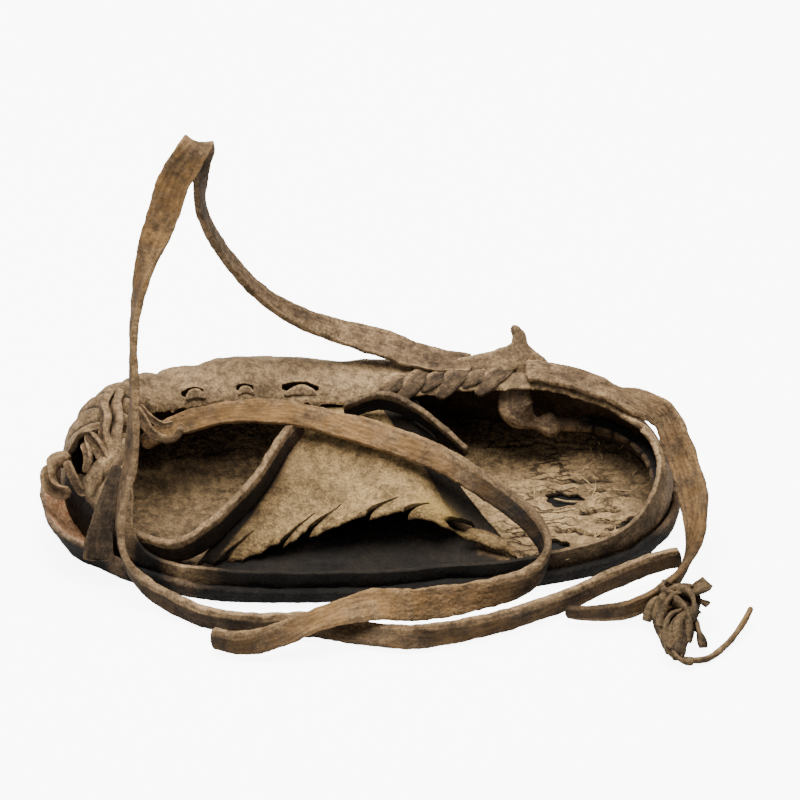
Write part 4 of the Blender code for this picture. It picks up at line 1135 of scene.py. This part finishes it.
# Each bar's upper half is painted lit and its lower half painted in shade
bar = add_strip(
    "lacing_bar", bar_line, bar_run, bar_width, BAR_THICK, thong_material, 31.0,
    tan=0.0, lit_top=0.75, sides=20, square=0.45,
)
bar_at = np.linspace(BAR_FROM, BAR_TO, BAR_COUNT)
seat = WALL_THICK / 2 + BAR_SEAT + BAR_THICK / 2
bar_place = wall_points(bar_at, BAR_LEVEL, seat)
outward = unit(bar_place - wall_points(bar_at, BAR_LEVEL, 0.0))
along = unit(wall_points(bar_at + 0.02, BAR_LEVEL, seat) - wall_points(bar_at - 0.02, BAR_LEVEL, seat))
bar_base = bpy.data.meshes.new("bar_places")
bar_base.from_pydata((bar_place * MM).tolist(), [], [])
for label, ways in {"outward": outward, "along": along}.items():
    kept = bar_base.attributes.new(label, "FLOAT_VECTOR", "POINT")
    kept.data.foreach_set("vector", ways.astype(np.float32).ravel())
values = {"Bar": bar, "Slant": BAR_SLANT, "Sway": BAR_SWAY, "Spread": BAR_SPREAD, "Seed": BAR_SEED}
lacing = grow("rim_whipping", tree, bar_base, values)
bpy.data.objects.remove(bar)
settle(lacing, "thong_leather", "rim_lacing")

# Ear and slit tongues
# Where the lacing ends, a corner of the rim was pulled up and dried as a small horn, with a ridge
# of hide that runs up to it. In each slit of the rim a small tongue of the cut hide has curled up.
# Rows: place, width and thickness
EAR_STRIPS = {
    "ear_horn": (
        (66, 33, 41, 13, 2.4), (62, 35, 46.5, 10, 3), (59.6, 38, 50.2, 6.6, 3.6),
        (59.2, 40.5, 53.6, 5.2, 3.4), (56.8, 42, 57, 2.8, 2.4),
    ),
    "ear_ridge": (
        (36, 32, 45.4, 6, 1.2), (48, 32, 46.0, 10, 2.2), (55, 34, 47.6, 10, 3),
        (59.5, 38, 50.5, 5.5, 2.6),
    ),
}
EAR_FACING = (0.1, -0.75, 0.65)
for seed, (name, rows) in enumerate(EAR_STRIPS.items()):
    rows = np.array(rows)
    sideways = np.cross(np.gradient(rows[:, :3], axis=0), EAR_FACING)
    line, run = strip_line(rows, unit(sideways), 0.5)
    ear = add_strip(name, line, run, line[:, 6], line[:, 7], wall_material, 33.0 + seed, square=0.7)
    settle(ear, "wall_hide")
for seed, (place, half, wide) in enumerate(RIM_SLITS):
    tongue_at = place + half * np.linspace(-0.95, 0.7, 6)
    rise = np.sin(np.pi * np.linspace(0.1, 0.9, 6))
    middle = wall_points(tongue_at, SLIT_LEVEL + 0.05 - 0.045 * rise, 1.2 + 0.5 * rise)
    upper_edge = wall_points(tongue_at, SLIT_LEVEL + 0.05, 1.0)
    sideways = wall_points(tongue_at, SLIT_LEVEL - 0.05, 2.0) - upper_edge
    line, run = strip_line(middle, unit(sideways), 0.4)
    tongue_width = 0.5 + (0.7 + 1.2 * wide) * np.sin(np.pi * run / run[-1])
    # Each tongue's upper half is painted a little lit and its lower half painted in shade
    tongue = add_strip(
        f"slit_tongue_{seed + 1}", line, run, tongue_width, 0.8, wall_material, 35.0 + seed,
        lit_top=0.4, sides=16, square=0.6,
    )
    settle(tongue, "wall_hide")

# Heel drawstring
# A knotted thong that draws the heel in, led along the inside of its wall. It starts as a broad
# grey end under the ear, has one knot and goes on as a dark roll with tight wraps.
# Rows: place and radius
DRAWSTRING = (
    (60.0, 33.0, 41.0, 2.0),
    (58.2, 28.4, 36.2, 4.6),
    (58.4, 24.8, 31.8, 5.6),
    (61.4, 23.2, 28.2, 4.2),
    (65.6, 23.3, 25.6, 1.9),
    (70.6, 24.6, 23.6, 3.9),
    (76.4, 27.2, 21.8, 2.0),
    (87.0, 29.0, 20.5, 3.3),
    (95.0, 25.5, 20.5, 3.2),
    (102.0, 19.0, 20.5, 2.6),
    (107.5, 10.5, 20.5, 2.9),
    (110.0, 1.0, 19.5, 2.5),
    (110.4, -7.2, 15.8, 1.8),
)
DRAW_FACING = np.array([0.0, -0.6, 0.8])
WRAP_EVERY, WRAP_DEPTH = 9.0, 0.3
GREY_LENGTH = 38.0
table = np.array(DRAWSTRING)
sideways = np.cross(np.gradient(table[:, :3], axis=0), DRAW_FACING)
line, run = strip_line(table, unit(sideways), 0.6)
wrap = np.exp(-((((run + 3) % WRAP_EVERY) - WRAP_EVERY / 2) ** 2) / 1.2)
in_roll = rises(run, GREY_LENGTH, 8)
girth = 2 * line[:, 6] * (1 - WRAP_DEPTH * wrap * in_roll)
wide, thick = girth * (1.2 - 0.2 * in_roll), girth * (0.75 + 0.15 * in_roll)
# The roll is painted darker as shade, most in its wraps; its upper half is painted lit over a lower half
# painted in shade
soiled, lit_top = 0.15 + 0.55 * in_roll + 0.3 * wrap * in_roll, 0.35 + 0.1 * in_roll
drawstring = add_strip(
    "heel_drawing_thong", line, run, wide, thick, thong_material, 37.0, 0.0, soiled, lit_top, square=0.75
)
settle(drawstring, "thong_leather", "heel_drawstring")

# Toe gathers
# Ends of the gathering thong and curled strips of hide between the pleats: rolled fingers over the
# cap's edge, loops in the toe's mouth, and a dark strip that hangs over the sole's edge.
# Rows: route by place, width at both ends, thickness, how tan, how dark
TOE_STRIPS = {
    "toe_roll": (
        ((-107.5, -10, 34.6), (-112.8, -12, 35), (-115.2, -15, 31.4), (-113.4, -18, 27),
         (-107.5, -20.5, 26)),
        (6, 5), 4.2, 0.15, 0.1,
    ),
    "toe_loop": (
        ((-109, -14, 37), (-106, -18.5, 31.8), (-102.9, -20.5, 27.4), (-97.8, -22, 31),
         (-96, -21, 38)),
        (3.2, 3.2), 2.6, 0.05, 0,
    ),
    "toe_bar": (
        ((-102, -10, 42.5), (-100.5, -15, 39), (-101.5, -17.5, 34)),
        (3.2, 2.6), 2.4, 0.05, 0,
    ),
    "toe_finger_near": (
        ((-92.5, 14, 47.4), (-95.2, 6, 47.6), (-94.2, -1, 46.4), (-95, -7, 43.8), (-92.8, -13, 40),
         (-91.8, -19, 35)),
        (5.6, 5), 3.4, 0.05, 0,
    ),
    "toe_finger_far": (
        ((-88.8, 14, 47.4), (-90.8, 6, 47.2), (-89.8, -1, 45.6), (-90.6, -7, 43), (-91, -14, 38.6)),
        (5.4, 5), 3.4, 0, 0.1,
    ),
    "toe_fold_near": (
        ((-100.5, -6, 43.5), (-97, -11.5, 41.5), (-94.2, -16, 38.2), (-92.4, -20.5, 34)),
        (4.6, 5), 3.2, 0.05, 0,
    ),
    "toe_fold_far": (
        ((-86.5, -8, 42), (-88.5, -14, 40), (-91, -20, 36), (-93, -24.5, 31)),
        (4.6, 5.4), 3.0, 0, 0.3,
    ),
    "toe_hook": (
        ((-84, 6, 46), (-81, 3, 43.8), (-78.4, 0, 40.6), (-73.7, -2.5, 38.4), (-68.5, -3, 39.4),
         (-66.2, -1.5, 43)),
        (4.6, 2.6), 2.0, 0.1, 0,
    ),
    "toe_hook_inner": (
        ((-82, 7, 46.5), (-78, 3.5, 43.6), (-73, 1, 42), (-69.5, 1, 43)),
        (3, 2.2), 1.8, 0.1, 0.1,
    ),
    "toe_hanging_strip": (
        ((-90, -20, 39.5), (-92, -26, 34.5), (-94, -32, 28.5), (-96.5, -37.5, 20.5),
         (-97, -41.5, 11.5)),
        (4, 12), 2.0, 0, 0.84,
    ),
}
TOE_FACING, HANGING_FACING = (0.3, 0.4, 1.0), (1.0, 0.15, 0.1)
for seed, (name, (route, wide, thick, tan, soiled)) in enumerate(TOE_STRIPS.items()):
    route = np.array(route, float)
    along = np.gradient(route, axis=0)
    facing = HANGING_FACING if name == "toe_hanging_strip" else TOE_FACING
    sideways = np.cross(np.cross(along, facing), along)
    line, run = strip_line(route, unit(sideways), 0.5)
    wide = np.linspace(*wide, len(run))
    strip = add_strip(
        name, line, run, wide, thick, thong_material, 41.0 + seed, tan, soiled,
        sides=24, square=0.5, cup=1.2,
    )
    settle(strip, "thong_leather")

# Thongs
# Flat strips cut from one hide, once wound round the foot and ankle and dried stiff as they lay:
# the tie stands up in an arch, the loop crosses the flap, and the rest lie round the shoe.
# Rows of a route: place, and the way that the thong's width lies there
TIE_ROUTE = (
    (42, 33, 46.6, 0.1, 1, 0.1),
    (24, 33.5, 48.6, 0.1, 1, 0.1),
    (8, 35.5, 54, 0.1, 1, 0.3),
    (-10, 36.5, 59.5, 0.1, 0.9, 0.3),
    (-30, 33.5, 72.5, 0, 1, 0.25),
    (-47, 27, 97, 0, 1, 0.25),
    (-58, 20.5, 126, 0.1, 1, 0.15),
    (-58.5, 18.5, 147, 0.6, 0.8, -0.1),
    (-58.5, 18, 156, 0.95, 0.3, -0.2),
    (-59.3, 16, 161.5, 1, 0.1, -0.3),
    (-61, 13, 162.3, 1, 0, -0.35),
    (-63.5, 11, 159, 0.95, -0.15, -0.4),
    (-67.8, 9.5, 151, 0.9, -0.25, -0.4),
    (-72.5, 6.5, 136, 0.9, -0.3, -0.3),
    (-77.5, 2, 123.5, 0.75, -0.6, 0),
    (-81, -3, 111, 0.4, -0.9, 0.2),
    (-83.5, -10, 93.5, 0.1, -0.95, 0.35),
    (-83.5, -19.5, 69, 0.15, -0.9, 0.4),
    (-84.5, -29, 50, 0.4, -0.85, 0.3),
    (-88.5, -39.5, 32.5, 0.15, -0.85, 0.5),
    (-87.5, -47, 19.5, 0, -0.7, 0.7),
    (-81, -51.5, 9.5, 0, -0.3, 1),
    (-72, -57.5, 6.2, 0, 0, 1),
    (-57, -67, 5.2, 0, 0, 1),
    (-36, -71, 5.0, 0, 0, 1),
    (-18, -71.5, 5.0, 0, 0.6, 0.8),
    (0, -75, 4.0, 0, 1, 0.4),
    (18, -78, 4.6, 0, 0.8, 0.7),
    (34, -76, 5.1, 0, 0.2, 1),
    (54, -69, 5.4, 0, 0, 1),
    (77, -58, 6.2, 0, 0, 1),
    (92, -49, 7.6, 0, 0, 1),
    (104, -43, 9.2, 0, 0, 1),
    (112, -40, 10.2, 0, 0, 1),
    (119.2, -38.4, 11.2, 0, 0, 1),
)
LOOP_ROUTE = (
    (-81.5, 2.8, 31.6, 0.2, 0.8, 0.6),
    (-68, 6.2, 37.6, 0, 0.8, 0.5),
    (-50, 8.4, 41.6, 0, 0.9, 0.5),
    (-30, 7, 43.5, 0, 0.9, 0.5),
    (-10, 1, 43, 0, 0.9, 0.5),
    (8, -5, 41, 0.1, 0.9, 0.5),
    (30, -12, 36, 0.2, 0.8, 0.6),
    (50, -22, 28, 0.3, 0.7, 0.7),
    (64, -34, 23, 0.4, 0.3, 0.9),
    (69, -45, 18, 0.2, 0, 1),
    (62, -54, 12, 0.1, 0.2, 1),
    (42, -60, 9.2, 0, 0.5, 0.85),
    (22, -65, 9.4, 0, 0.6, 0.8),
    (5, -69.5, 13.0, 0, 0.8, 0.5),
    (-13, -76.5, 12.6, 0, 1, 0.2),
    (-30, -82.5, 8.6, 0, 0.7, 0.7),
    (-44, -84, 6.4, 0, 0.2, 1),
    (-55, -80, 5.8, 0, 0, 1),
)
CROSS_ROUTE = (
    (-86, -29, 13.2, 0, -0.05, 1),
    (-76, -35.5, 13, 0, -0.1, 1),
    (-66, -38, 14, 0, -0.15, 1),
    (-56, -35.5, 20, 0, -0.15, 1),
    (-47, -28.5, 24.8, 0, -0.15, 1),
    (-38, -20, 30.6, 0, -0.1, 1),
    (-32.5, -12, 35, 0, 0, 1),
    (-28, -3, 37, 0.1, 0.4, 0.9),
    (-22, 7, 37.4, 0.3, 0.9, 0.4),
)
SIDE_ROUTE = (
    (-6, 9.0, 42.5, 0.1, -0.3, 1),
    (8, 12, 45, 0, -0.3, 1),
    (20, 9, 42, 0, -0.4, 1),
    (31, 2, 37.5, 0, -0.5, 1),
    (40, -4, 32.5, 0, -0.6, 0.9),
)
# The heel thong lies on the rim first: place round the foot, and its lift off the wall
HEEL_ON_RIM = ((2.3, 1.0), (2.1, 1.0), (1.9, 1.0), (1.65, 1.0), (1.4, 1.0), (1.15, 1.2), (0.9, 1.6))
HEEL_LEVEL = 0.9
THONG_THICK = 2.8
HEEL_ROUTE = (
    (112.5, 14, 37, -0.5, -0.35, -0.8),
    (117.8, 4, 31.5, -0.7, -0.2, -0.7),
    (121.4, -6, 26.5, -0.85, -0.1, -0.45),
    (124.2, -20, 21, -0.85, 0, -0.5),
    (123.8, -37, 15.4, -0.6, 0, -0.8),
    (116, -53, 9.6, -0.2, 0, -1),
    (100, -63, 5.8, 0, 0, -1),
    (86, -65, 5.2, 0, 0, -1),
    (76, -64, 5.1, 0, 0, -1),
)
heel_route = []
for place, lift in HEEL_ON_RIM:
    lift += WALL_THICK / 2 + GAP + THONG_THICK / 2
    middle = wall_points(place, HEEL_LEVEL, lift)
    above, below = [wall_points(place, HEEL_LEVEL + step, lift) for step in (0.05, -0.05)]
    heel_route.append((*middle, *unit(above - below)))
heel_route += HEEL_ROUTE
# One row for each thong: its route, its width, what its far end meets, and its looks by row of its route: how
# tan, how dark with soil and painted shade, how strongly its upper half is painted lit over a lower half
# painted in shade, how broad and how thick
THONGS = {
    "tie_thong": (TIE_ROUTE, 9.2, "bare", (
        (0, 0, 0, 0, 1.0, 0.3), (1, 0, 0, 0, 1.4, 0.45), (2, 0, 0, 0, 1.35, 0.8),
        (3, 0, 0, 0, 1.05, 1), (5, 0.1, 0.1, 0.2, 0.8, 1), (7, 0.1, 0.5, 0, 1.0, 1),
        (9, 0.3, 0.3, 0, 1.2, 1), (11, 0.8, 0, 0, 1.3, 1), (13, 1, 0, 0, 1.28, 1),
        (14, 0.9, 0, 0, 1.1, 1), (16, 0.3, 0.1, 0, 0.95, 1), (19, 0.1, 0.35, 0, 0.95, 1),
        (21, 0.05, 0.2, 0.6, 0.95, 1), (23, 0.1, 0, 1, 1, 1), (25, 0.1, 0, 0.9, 1, 1),
        (27, 0.3, 0.4, 0.4, 1, 1), (30, 0.3, 0.1, 0.8, 1, 1), (34, 0.2, 0.2, 0.9, 0.9, 1),
    )),
    "loop_thong": (LOOP_ROUTE, 10.5, "bare", (
        (0, 0.6, 0.2, 0, 0.55, 1), (1, 0.9, 0, 0.2, 0.75, 1), (2, 1, 0, 0.22, 0.82, 1),
        (5, 0.9, 0, 0.25, 1.0, 1), (6, 0.5, 0.1, 0.3, 0.9, 1), (7, 0.2, 0.55, 0.7, 0.85, 1),
        (9, 0.1, 0.6, 0.9, 0.85, 1), (10, 0.2, 0.2, 0.5, 0.95, 1), (12, 0.7, 0, 0, 1.15, 1),
        (13, 0.85, 0, 0, 1.1, 1), (14, 0.7, 0, 0, 0.9, 1), (15, 0.4, 0.3, 0.5, 0.9, 1),
        (17, 0.3, 0.3, 0.6, 0.85, 1),
    )),
    "cross_thong": (CROSS_ROUTE, 8.5, "object", (
        (0, 0, 0.1, 0.7, 0.9, 1), (3, 0.05, 0.2, 1, 1.4, 1), (6, 0.05, 0.2, 1, 1.35, 1),
        (8, 0.1, 0.3, 0.6, 0.8, 1),
    )),
    "side_thong": (SIDE_ROUTE, 8.6, "object", (
        (0, 0, 0.7, 0.9, 1.2, 0.8), (4, 0, 0.6, 0.9, 1.2, 0.8),
    )),
    "heel_thong": (heel_route, 8.5, "bare", (
        (0, 0, 0, 0, 1.3, 0.8), (4, 0, 0, 0, 1.3, 0.9), (6, 0.2, 0.1, 0, 1.3, 1),
        (8, 0.35, 0.4, 0, 1.32, 1), (10, 0.45, 0.45, 0.2, 1.3, 1), (11, 0.45, 0.55, 0.4, 1.0, 1),
        (13, 0.3, 0.25, 0.6, 0.9, 1), (15, 0.1, 0.5, 0.6, 0.5, 1),
    )),
}
FIRST_SEED = 51.0
for number, (name, (route, wide, far_end, looks)) in enumerate(THONGS.items()):
    looks = np.array(looks)
    by_row = [np.interp(np.arange(len(route)), looks[:, 0], look) for look in looks[:, 1:].T]
    line, run = smooth_line(np.column_stack([np.array(route), *by_row]), 0.85)
    tan, soiled, lit_top, broad, thick = np.clip(line[:, 6:], 0, 2).T
    thong = add_strip(
        name + "_strip", line, run, wide * broad, THONG_THICK * thick, thong_material,
        FIRST_SEED + number, tan, soiled, lit_top,
    )
    settle(thong, "thong_leather", name)

# Heel tassel
# The frayed end of a thong knotted into a tangle beside the heel: a core with torn strips wound
# round it and standing off, and one thin strand that trails away.
# Rows of the core: place and radius
TASSEL_BODY = (
    (121, -54, 8.0, 1.4),
    (120, -58, 8.0, 4.2),
    (118.5, -63, 7.6, 6.6),
    (117, -70, 7.2, 6.4),
    (117, -79, 7.0, 6.4),
    (117, -86, 5.4, 4.6),
    (117.5, -90, 3.6, 1.6),
)
TASSEL_STRIPS = (
    ((119, -60, 9), (124, -63, 11), (129, -66, 10)),
    ((114, -58, 8), (109, -62, 7), (106, -68, 4)),
    ((120, -70, 8), (125, -76, 7), (127, -83, 3.5)),
    ((115, -68, 10), (112, -74, 12), (111, -80, 11)),
    ((123, -56, 9), (128, -58, 14), (127, -63, 16), (121, -66, 14)),
    ((116, -62, 13), (121, -66, 16), (124, -72, 13), (120, -78, 11)),
    ((113, -64, 10), (117, -70, 14.5), (122, -76, 11), (121, -84, 7)),
    ((121, -62, 12), (115, -68, 14.5), (112, -76, 10), (115, -85, 7)),
    ((119, -72, 13), (114, -78, 12.5), (114, -86, 7.5), (118, -90, 4)),
    ((117, -54, 9), (112, -57, 12), (113, -63, 13.5), (118, -64, 13)),
    ((125, -66, 6), (122, -73, 10), (118, -80, 12.5), (117, -88, 6)),
    ((112, -80, 7), (115, -87, 5), (119, -90, 3.4), (123, -90, 2.2)),
)
WOUND_STRIPS, WOUND_POINTS, WOUND_SEED = 7, 22, 12
STRIP_WIDTH, STRIP_THICK, STRIP_TWIST = 4.6, 1.5, 2.4
STRIP_LOWEST = 2.7
STRAND_ROUTE = (
    (119.6, -89, 2.0), (128.2, -87.5, 1.7), (135.2, -80, 2.0), (140.8, -71.5, 3.8), (145, -64.2, 7.4),
)
STRAND_RADIUS = 1.2
frayed_material = thong_leather(
    "frayed_thong", (0.028, 0.018, 0.009), (0.095, 0.06, 0.028), (0.215, 0.143, 0.069), 0.48
)

tree, given = growth_tree(
    "torn strips",
    ("Strip Width", "Float", 0.003), ("Strip Thickness", "Float", 0.001), ("Twist", "Float", 2.0),
)
curve = node(tree, "GeometryNodeMeshToCurve", {"Mesh": given["Geometry"]}).outputs[0]
share_along = node(tree, "GeometryNodeSplineParameter").outputs["Factor"]
tilt = reckon(tree, "ADD", reckon(tree, "MULTIPLY", share_along, given["Twist"]), 0.6)
curve = node(tree, "GeometryNodeSetCurveTilt", {"Curve": curve, "Tilt": tilt}).outputs[0]
quad_inputs = {"Width": given["Strip Width"], "Height": given["Strip Thickness"]}
strip_profile = node(tree, "GeometryNodeCurvePrimitiveQuadrilateral", quad_inputs).outputs[0]
sweep = {"Curve": curve, "Profile Curve": strip_profile, "Fill Caps": True}
sweep["Scale"] = named(tree, "girth")
finish_tree(tree, node(tree, "GeometryNodeCurveToMesh", sweep).outputs["Mesh"], frayed_material)

chance = np.random.default_rng(WOUND_SEED)
core = open_curve(np.array(TASSEL_BODY), np.linspace(0, len(TASSEL_BODY) - 1, 60))
paths = []
for k in range(WOUND_STRIPS):
    start = chance.uniform(0.02, 0.5)
    stop = min(start + chance.uniform(0.3, 0.6), 0.97)
    spot = np.linspace(start, stop, WOUND_POINTS) * (len(core) - 1)
    middle = np.stack([np.interp(spot, np.arange(len(core)), column) for column in core.T], axis=-1)
    turn = chance.uniform(0, 2 * np.pi) + np.linspace(0, chance.uniform(-4.5, 4.5), WOUND_POINTS)
    reach = middle[:, 3] * chance.uniform(0.75, 1.02) + 0.3
    ring = np.stack([reach * np.cos(turn), 0 * turn, reach * np.sin(turn) * 0.95], axis=-1)
    paths.append(middle[:, :3] + ring)
for strip in TASSEL_STRIPS:
    paths.append(smooth_line(np.array(strip, float), 0.8)[0])
for path in paths:
    path[:, 2] = np.maximum(path[:, 2], STRIP_LOWEST)
tassel_base = bpy.data.meshes.new("tassel_paths")
counts = [len(path) for path in paths]
starts = np.cumsum([0, *counts[:-1]])
links = [(start + k, start + k + 1) for start, count in zip(starts, counts) for k in range(count - 1)]
tassel_base.from_pydata((np.concatenate(paths) * MM).tolist(), links, [])
taper = [0.35 + 0.75 * np.sin(np.pi * np.linspace(0.06, 0.94, count)) ** 0.5 for count in counts]
keep_mask(tassel_base, "girth", np.concatenate(taper))
values = {"Strip Width": STRIP_WIDTH * MM, "Strip Thickness": STRIP_THICK * MM, "Twist": STRIP_TWIST}
tassel = grow("tassel_strips", tree, tassel_base, values)
settle(tassel, "frayed_thong", "heel_tassel")

line, run = strip_line(core, (1.0, 0, 0.2), 0.6)
girth = 2 * np.maximum(line[:, 6], 0.8) * 0.8
tassel_core = add_strip(
    "tassel_core", line, run, girth, girth * 0.9, frayed_material, 61.0, tan=0.0, soiled=0.8, square=0.8
)
settle(tassel_core, "frayed_thong")

line, run = strip_line(STRAND_ROUTE, (0.2, 0.1, 1.0), 0.6)
strand = add_strip(
    "trailing_strand", line, run, 2.2 * STRAND_RADIUS, 1.7 * STRAND_RADIUS, frayed_material, 63.0,
    sides=14, square=0.7,
)
settle(strand, "frayed_thong", "tassel_strand")
path = line[:, :3] * MM

# Heel fibres
# Straw-coloured fibres of the hide that stand loose on the worn heel of the insole, where use has
# split its grain. Their roots are still in the sheet.
FIBRE_LENGTH, FIBRE_RADIUS = 11.0, 0.26
FIBRE_DENSITY, FIBRE_SEED = 45000.0, 6
FIBRE_FROM, FIBRE_FULL = 58.0, 80.0
FIBRE_LEAN, FIBRE_FACING = 1.5, 0.94
FIBRE_DARK, FIBRE_PALE = (0.2, 0.135, 0.065, 1), (0.52, 0.38, 0.18, 1)
FIBRE_BENDS = ((0, 0, 0), (0.5, 0.2, 0.3), (1.1, -0.3, 0.62), (0.6, 0.4, 1.0))
fibre_material, tree, shader = new_material("heel_fibre")
coords = object_place(tree)
share = ramp(tree, noise_value(tree, coords, 260.0), 0.3, 0.7)
tree.links.new(tint(tree, share, FIBRE_DARK, FIBRE_PALE), shader.inputs["Base Color"])
shader.inputs["Roughness"].default_value = 0.8

tree, given = growth_tree(
    "frayed fibres", ("Fibre", "Object"),
    ("Density", "Float", 1000.0), ("Lean", "Float", 1.3), ("Seed", "Int", 0),
)
density = reckon(tree, "MULTIPLY", named(tree, "frayed"), given["Density"])
scatter_inputs = {"Mesh": given["Geometry"], "Density": density, "Seed": given["Seed"]}
scatter = node(tree, "GeometryNodeDistributePointsOnFaces", scatter_inputs)
spin = random_number(tree, 0.0, 6.28, given["Seed"])
lean = random_number(tree, reckon(tree, "MULTIPLY", given["Lean"], 0.75), given["Lean"], given["Seed"])
facing = turned(tree, scatter.outputs["Rotation"], (0, 0, 1), spin)
facing = turned(tree, facing, (0, 1, 0), lean)
tufts = copies(tree, scatter.outputs["Points"], given["Fibre"], facing, 0.35, 1.2, given["Seed"])
finish_tree(tree, tufts, fibre_material)

line, run = strip_line(np.array(FIBRE_BENDS) * (1, 1, FIBRE_LENGTH), (1.0, 0, 0), 1.3)
thick = 2 * FIBRE_RADIUS
fibre = add_strip("fibre", line, run, thick, thick, fibre_material, 71.0, sides=4, square=1.0)
fray_base = insole.data.copy()
spots = np.zeros(len(fray_base.vertices) * 3, np.float32)
fray_base.vertices.foreach_get("co", spots)
spots = spots.reshape(-1, 3) / MM
fray = rises(spots[:, 0], FIBRE_FROM, FIBRE_FULL - FIBRE_FROM) * (spots[:, 2] > INSOLE_BASE + 1.5)
fray *= smooth_step(relief_noise(spots.astype(float), 9.0, 3.0) * 2 + 0.2)
facing_up = np.zeros(len(fray_base.vertices) * 3, np.float32)
fray_base.vertex_normals.foreach_get("vector", facing_up)
fray *= facing_up.reshape(-1, 3)[:, 2] > FIBRE_FACING
keep_mask(fray_base, "frayed", fray)
values = {"Fibre": fibre, "Density": FIBRE_DENSITY, "Lean": FIBRE_LEAN, "Seed": FIBRE_SEED}
fibres = grow("heel_fibres", tree, fray_base, values)
bpy.data.objects.remove(fibre)
settle(fibres, "insole_hide")
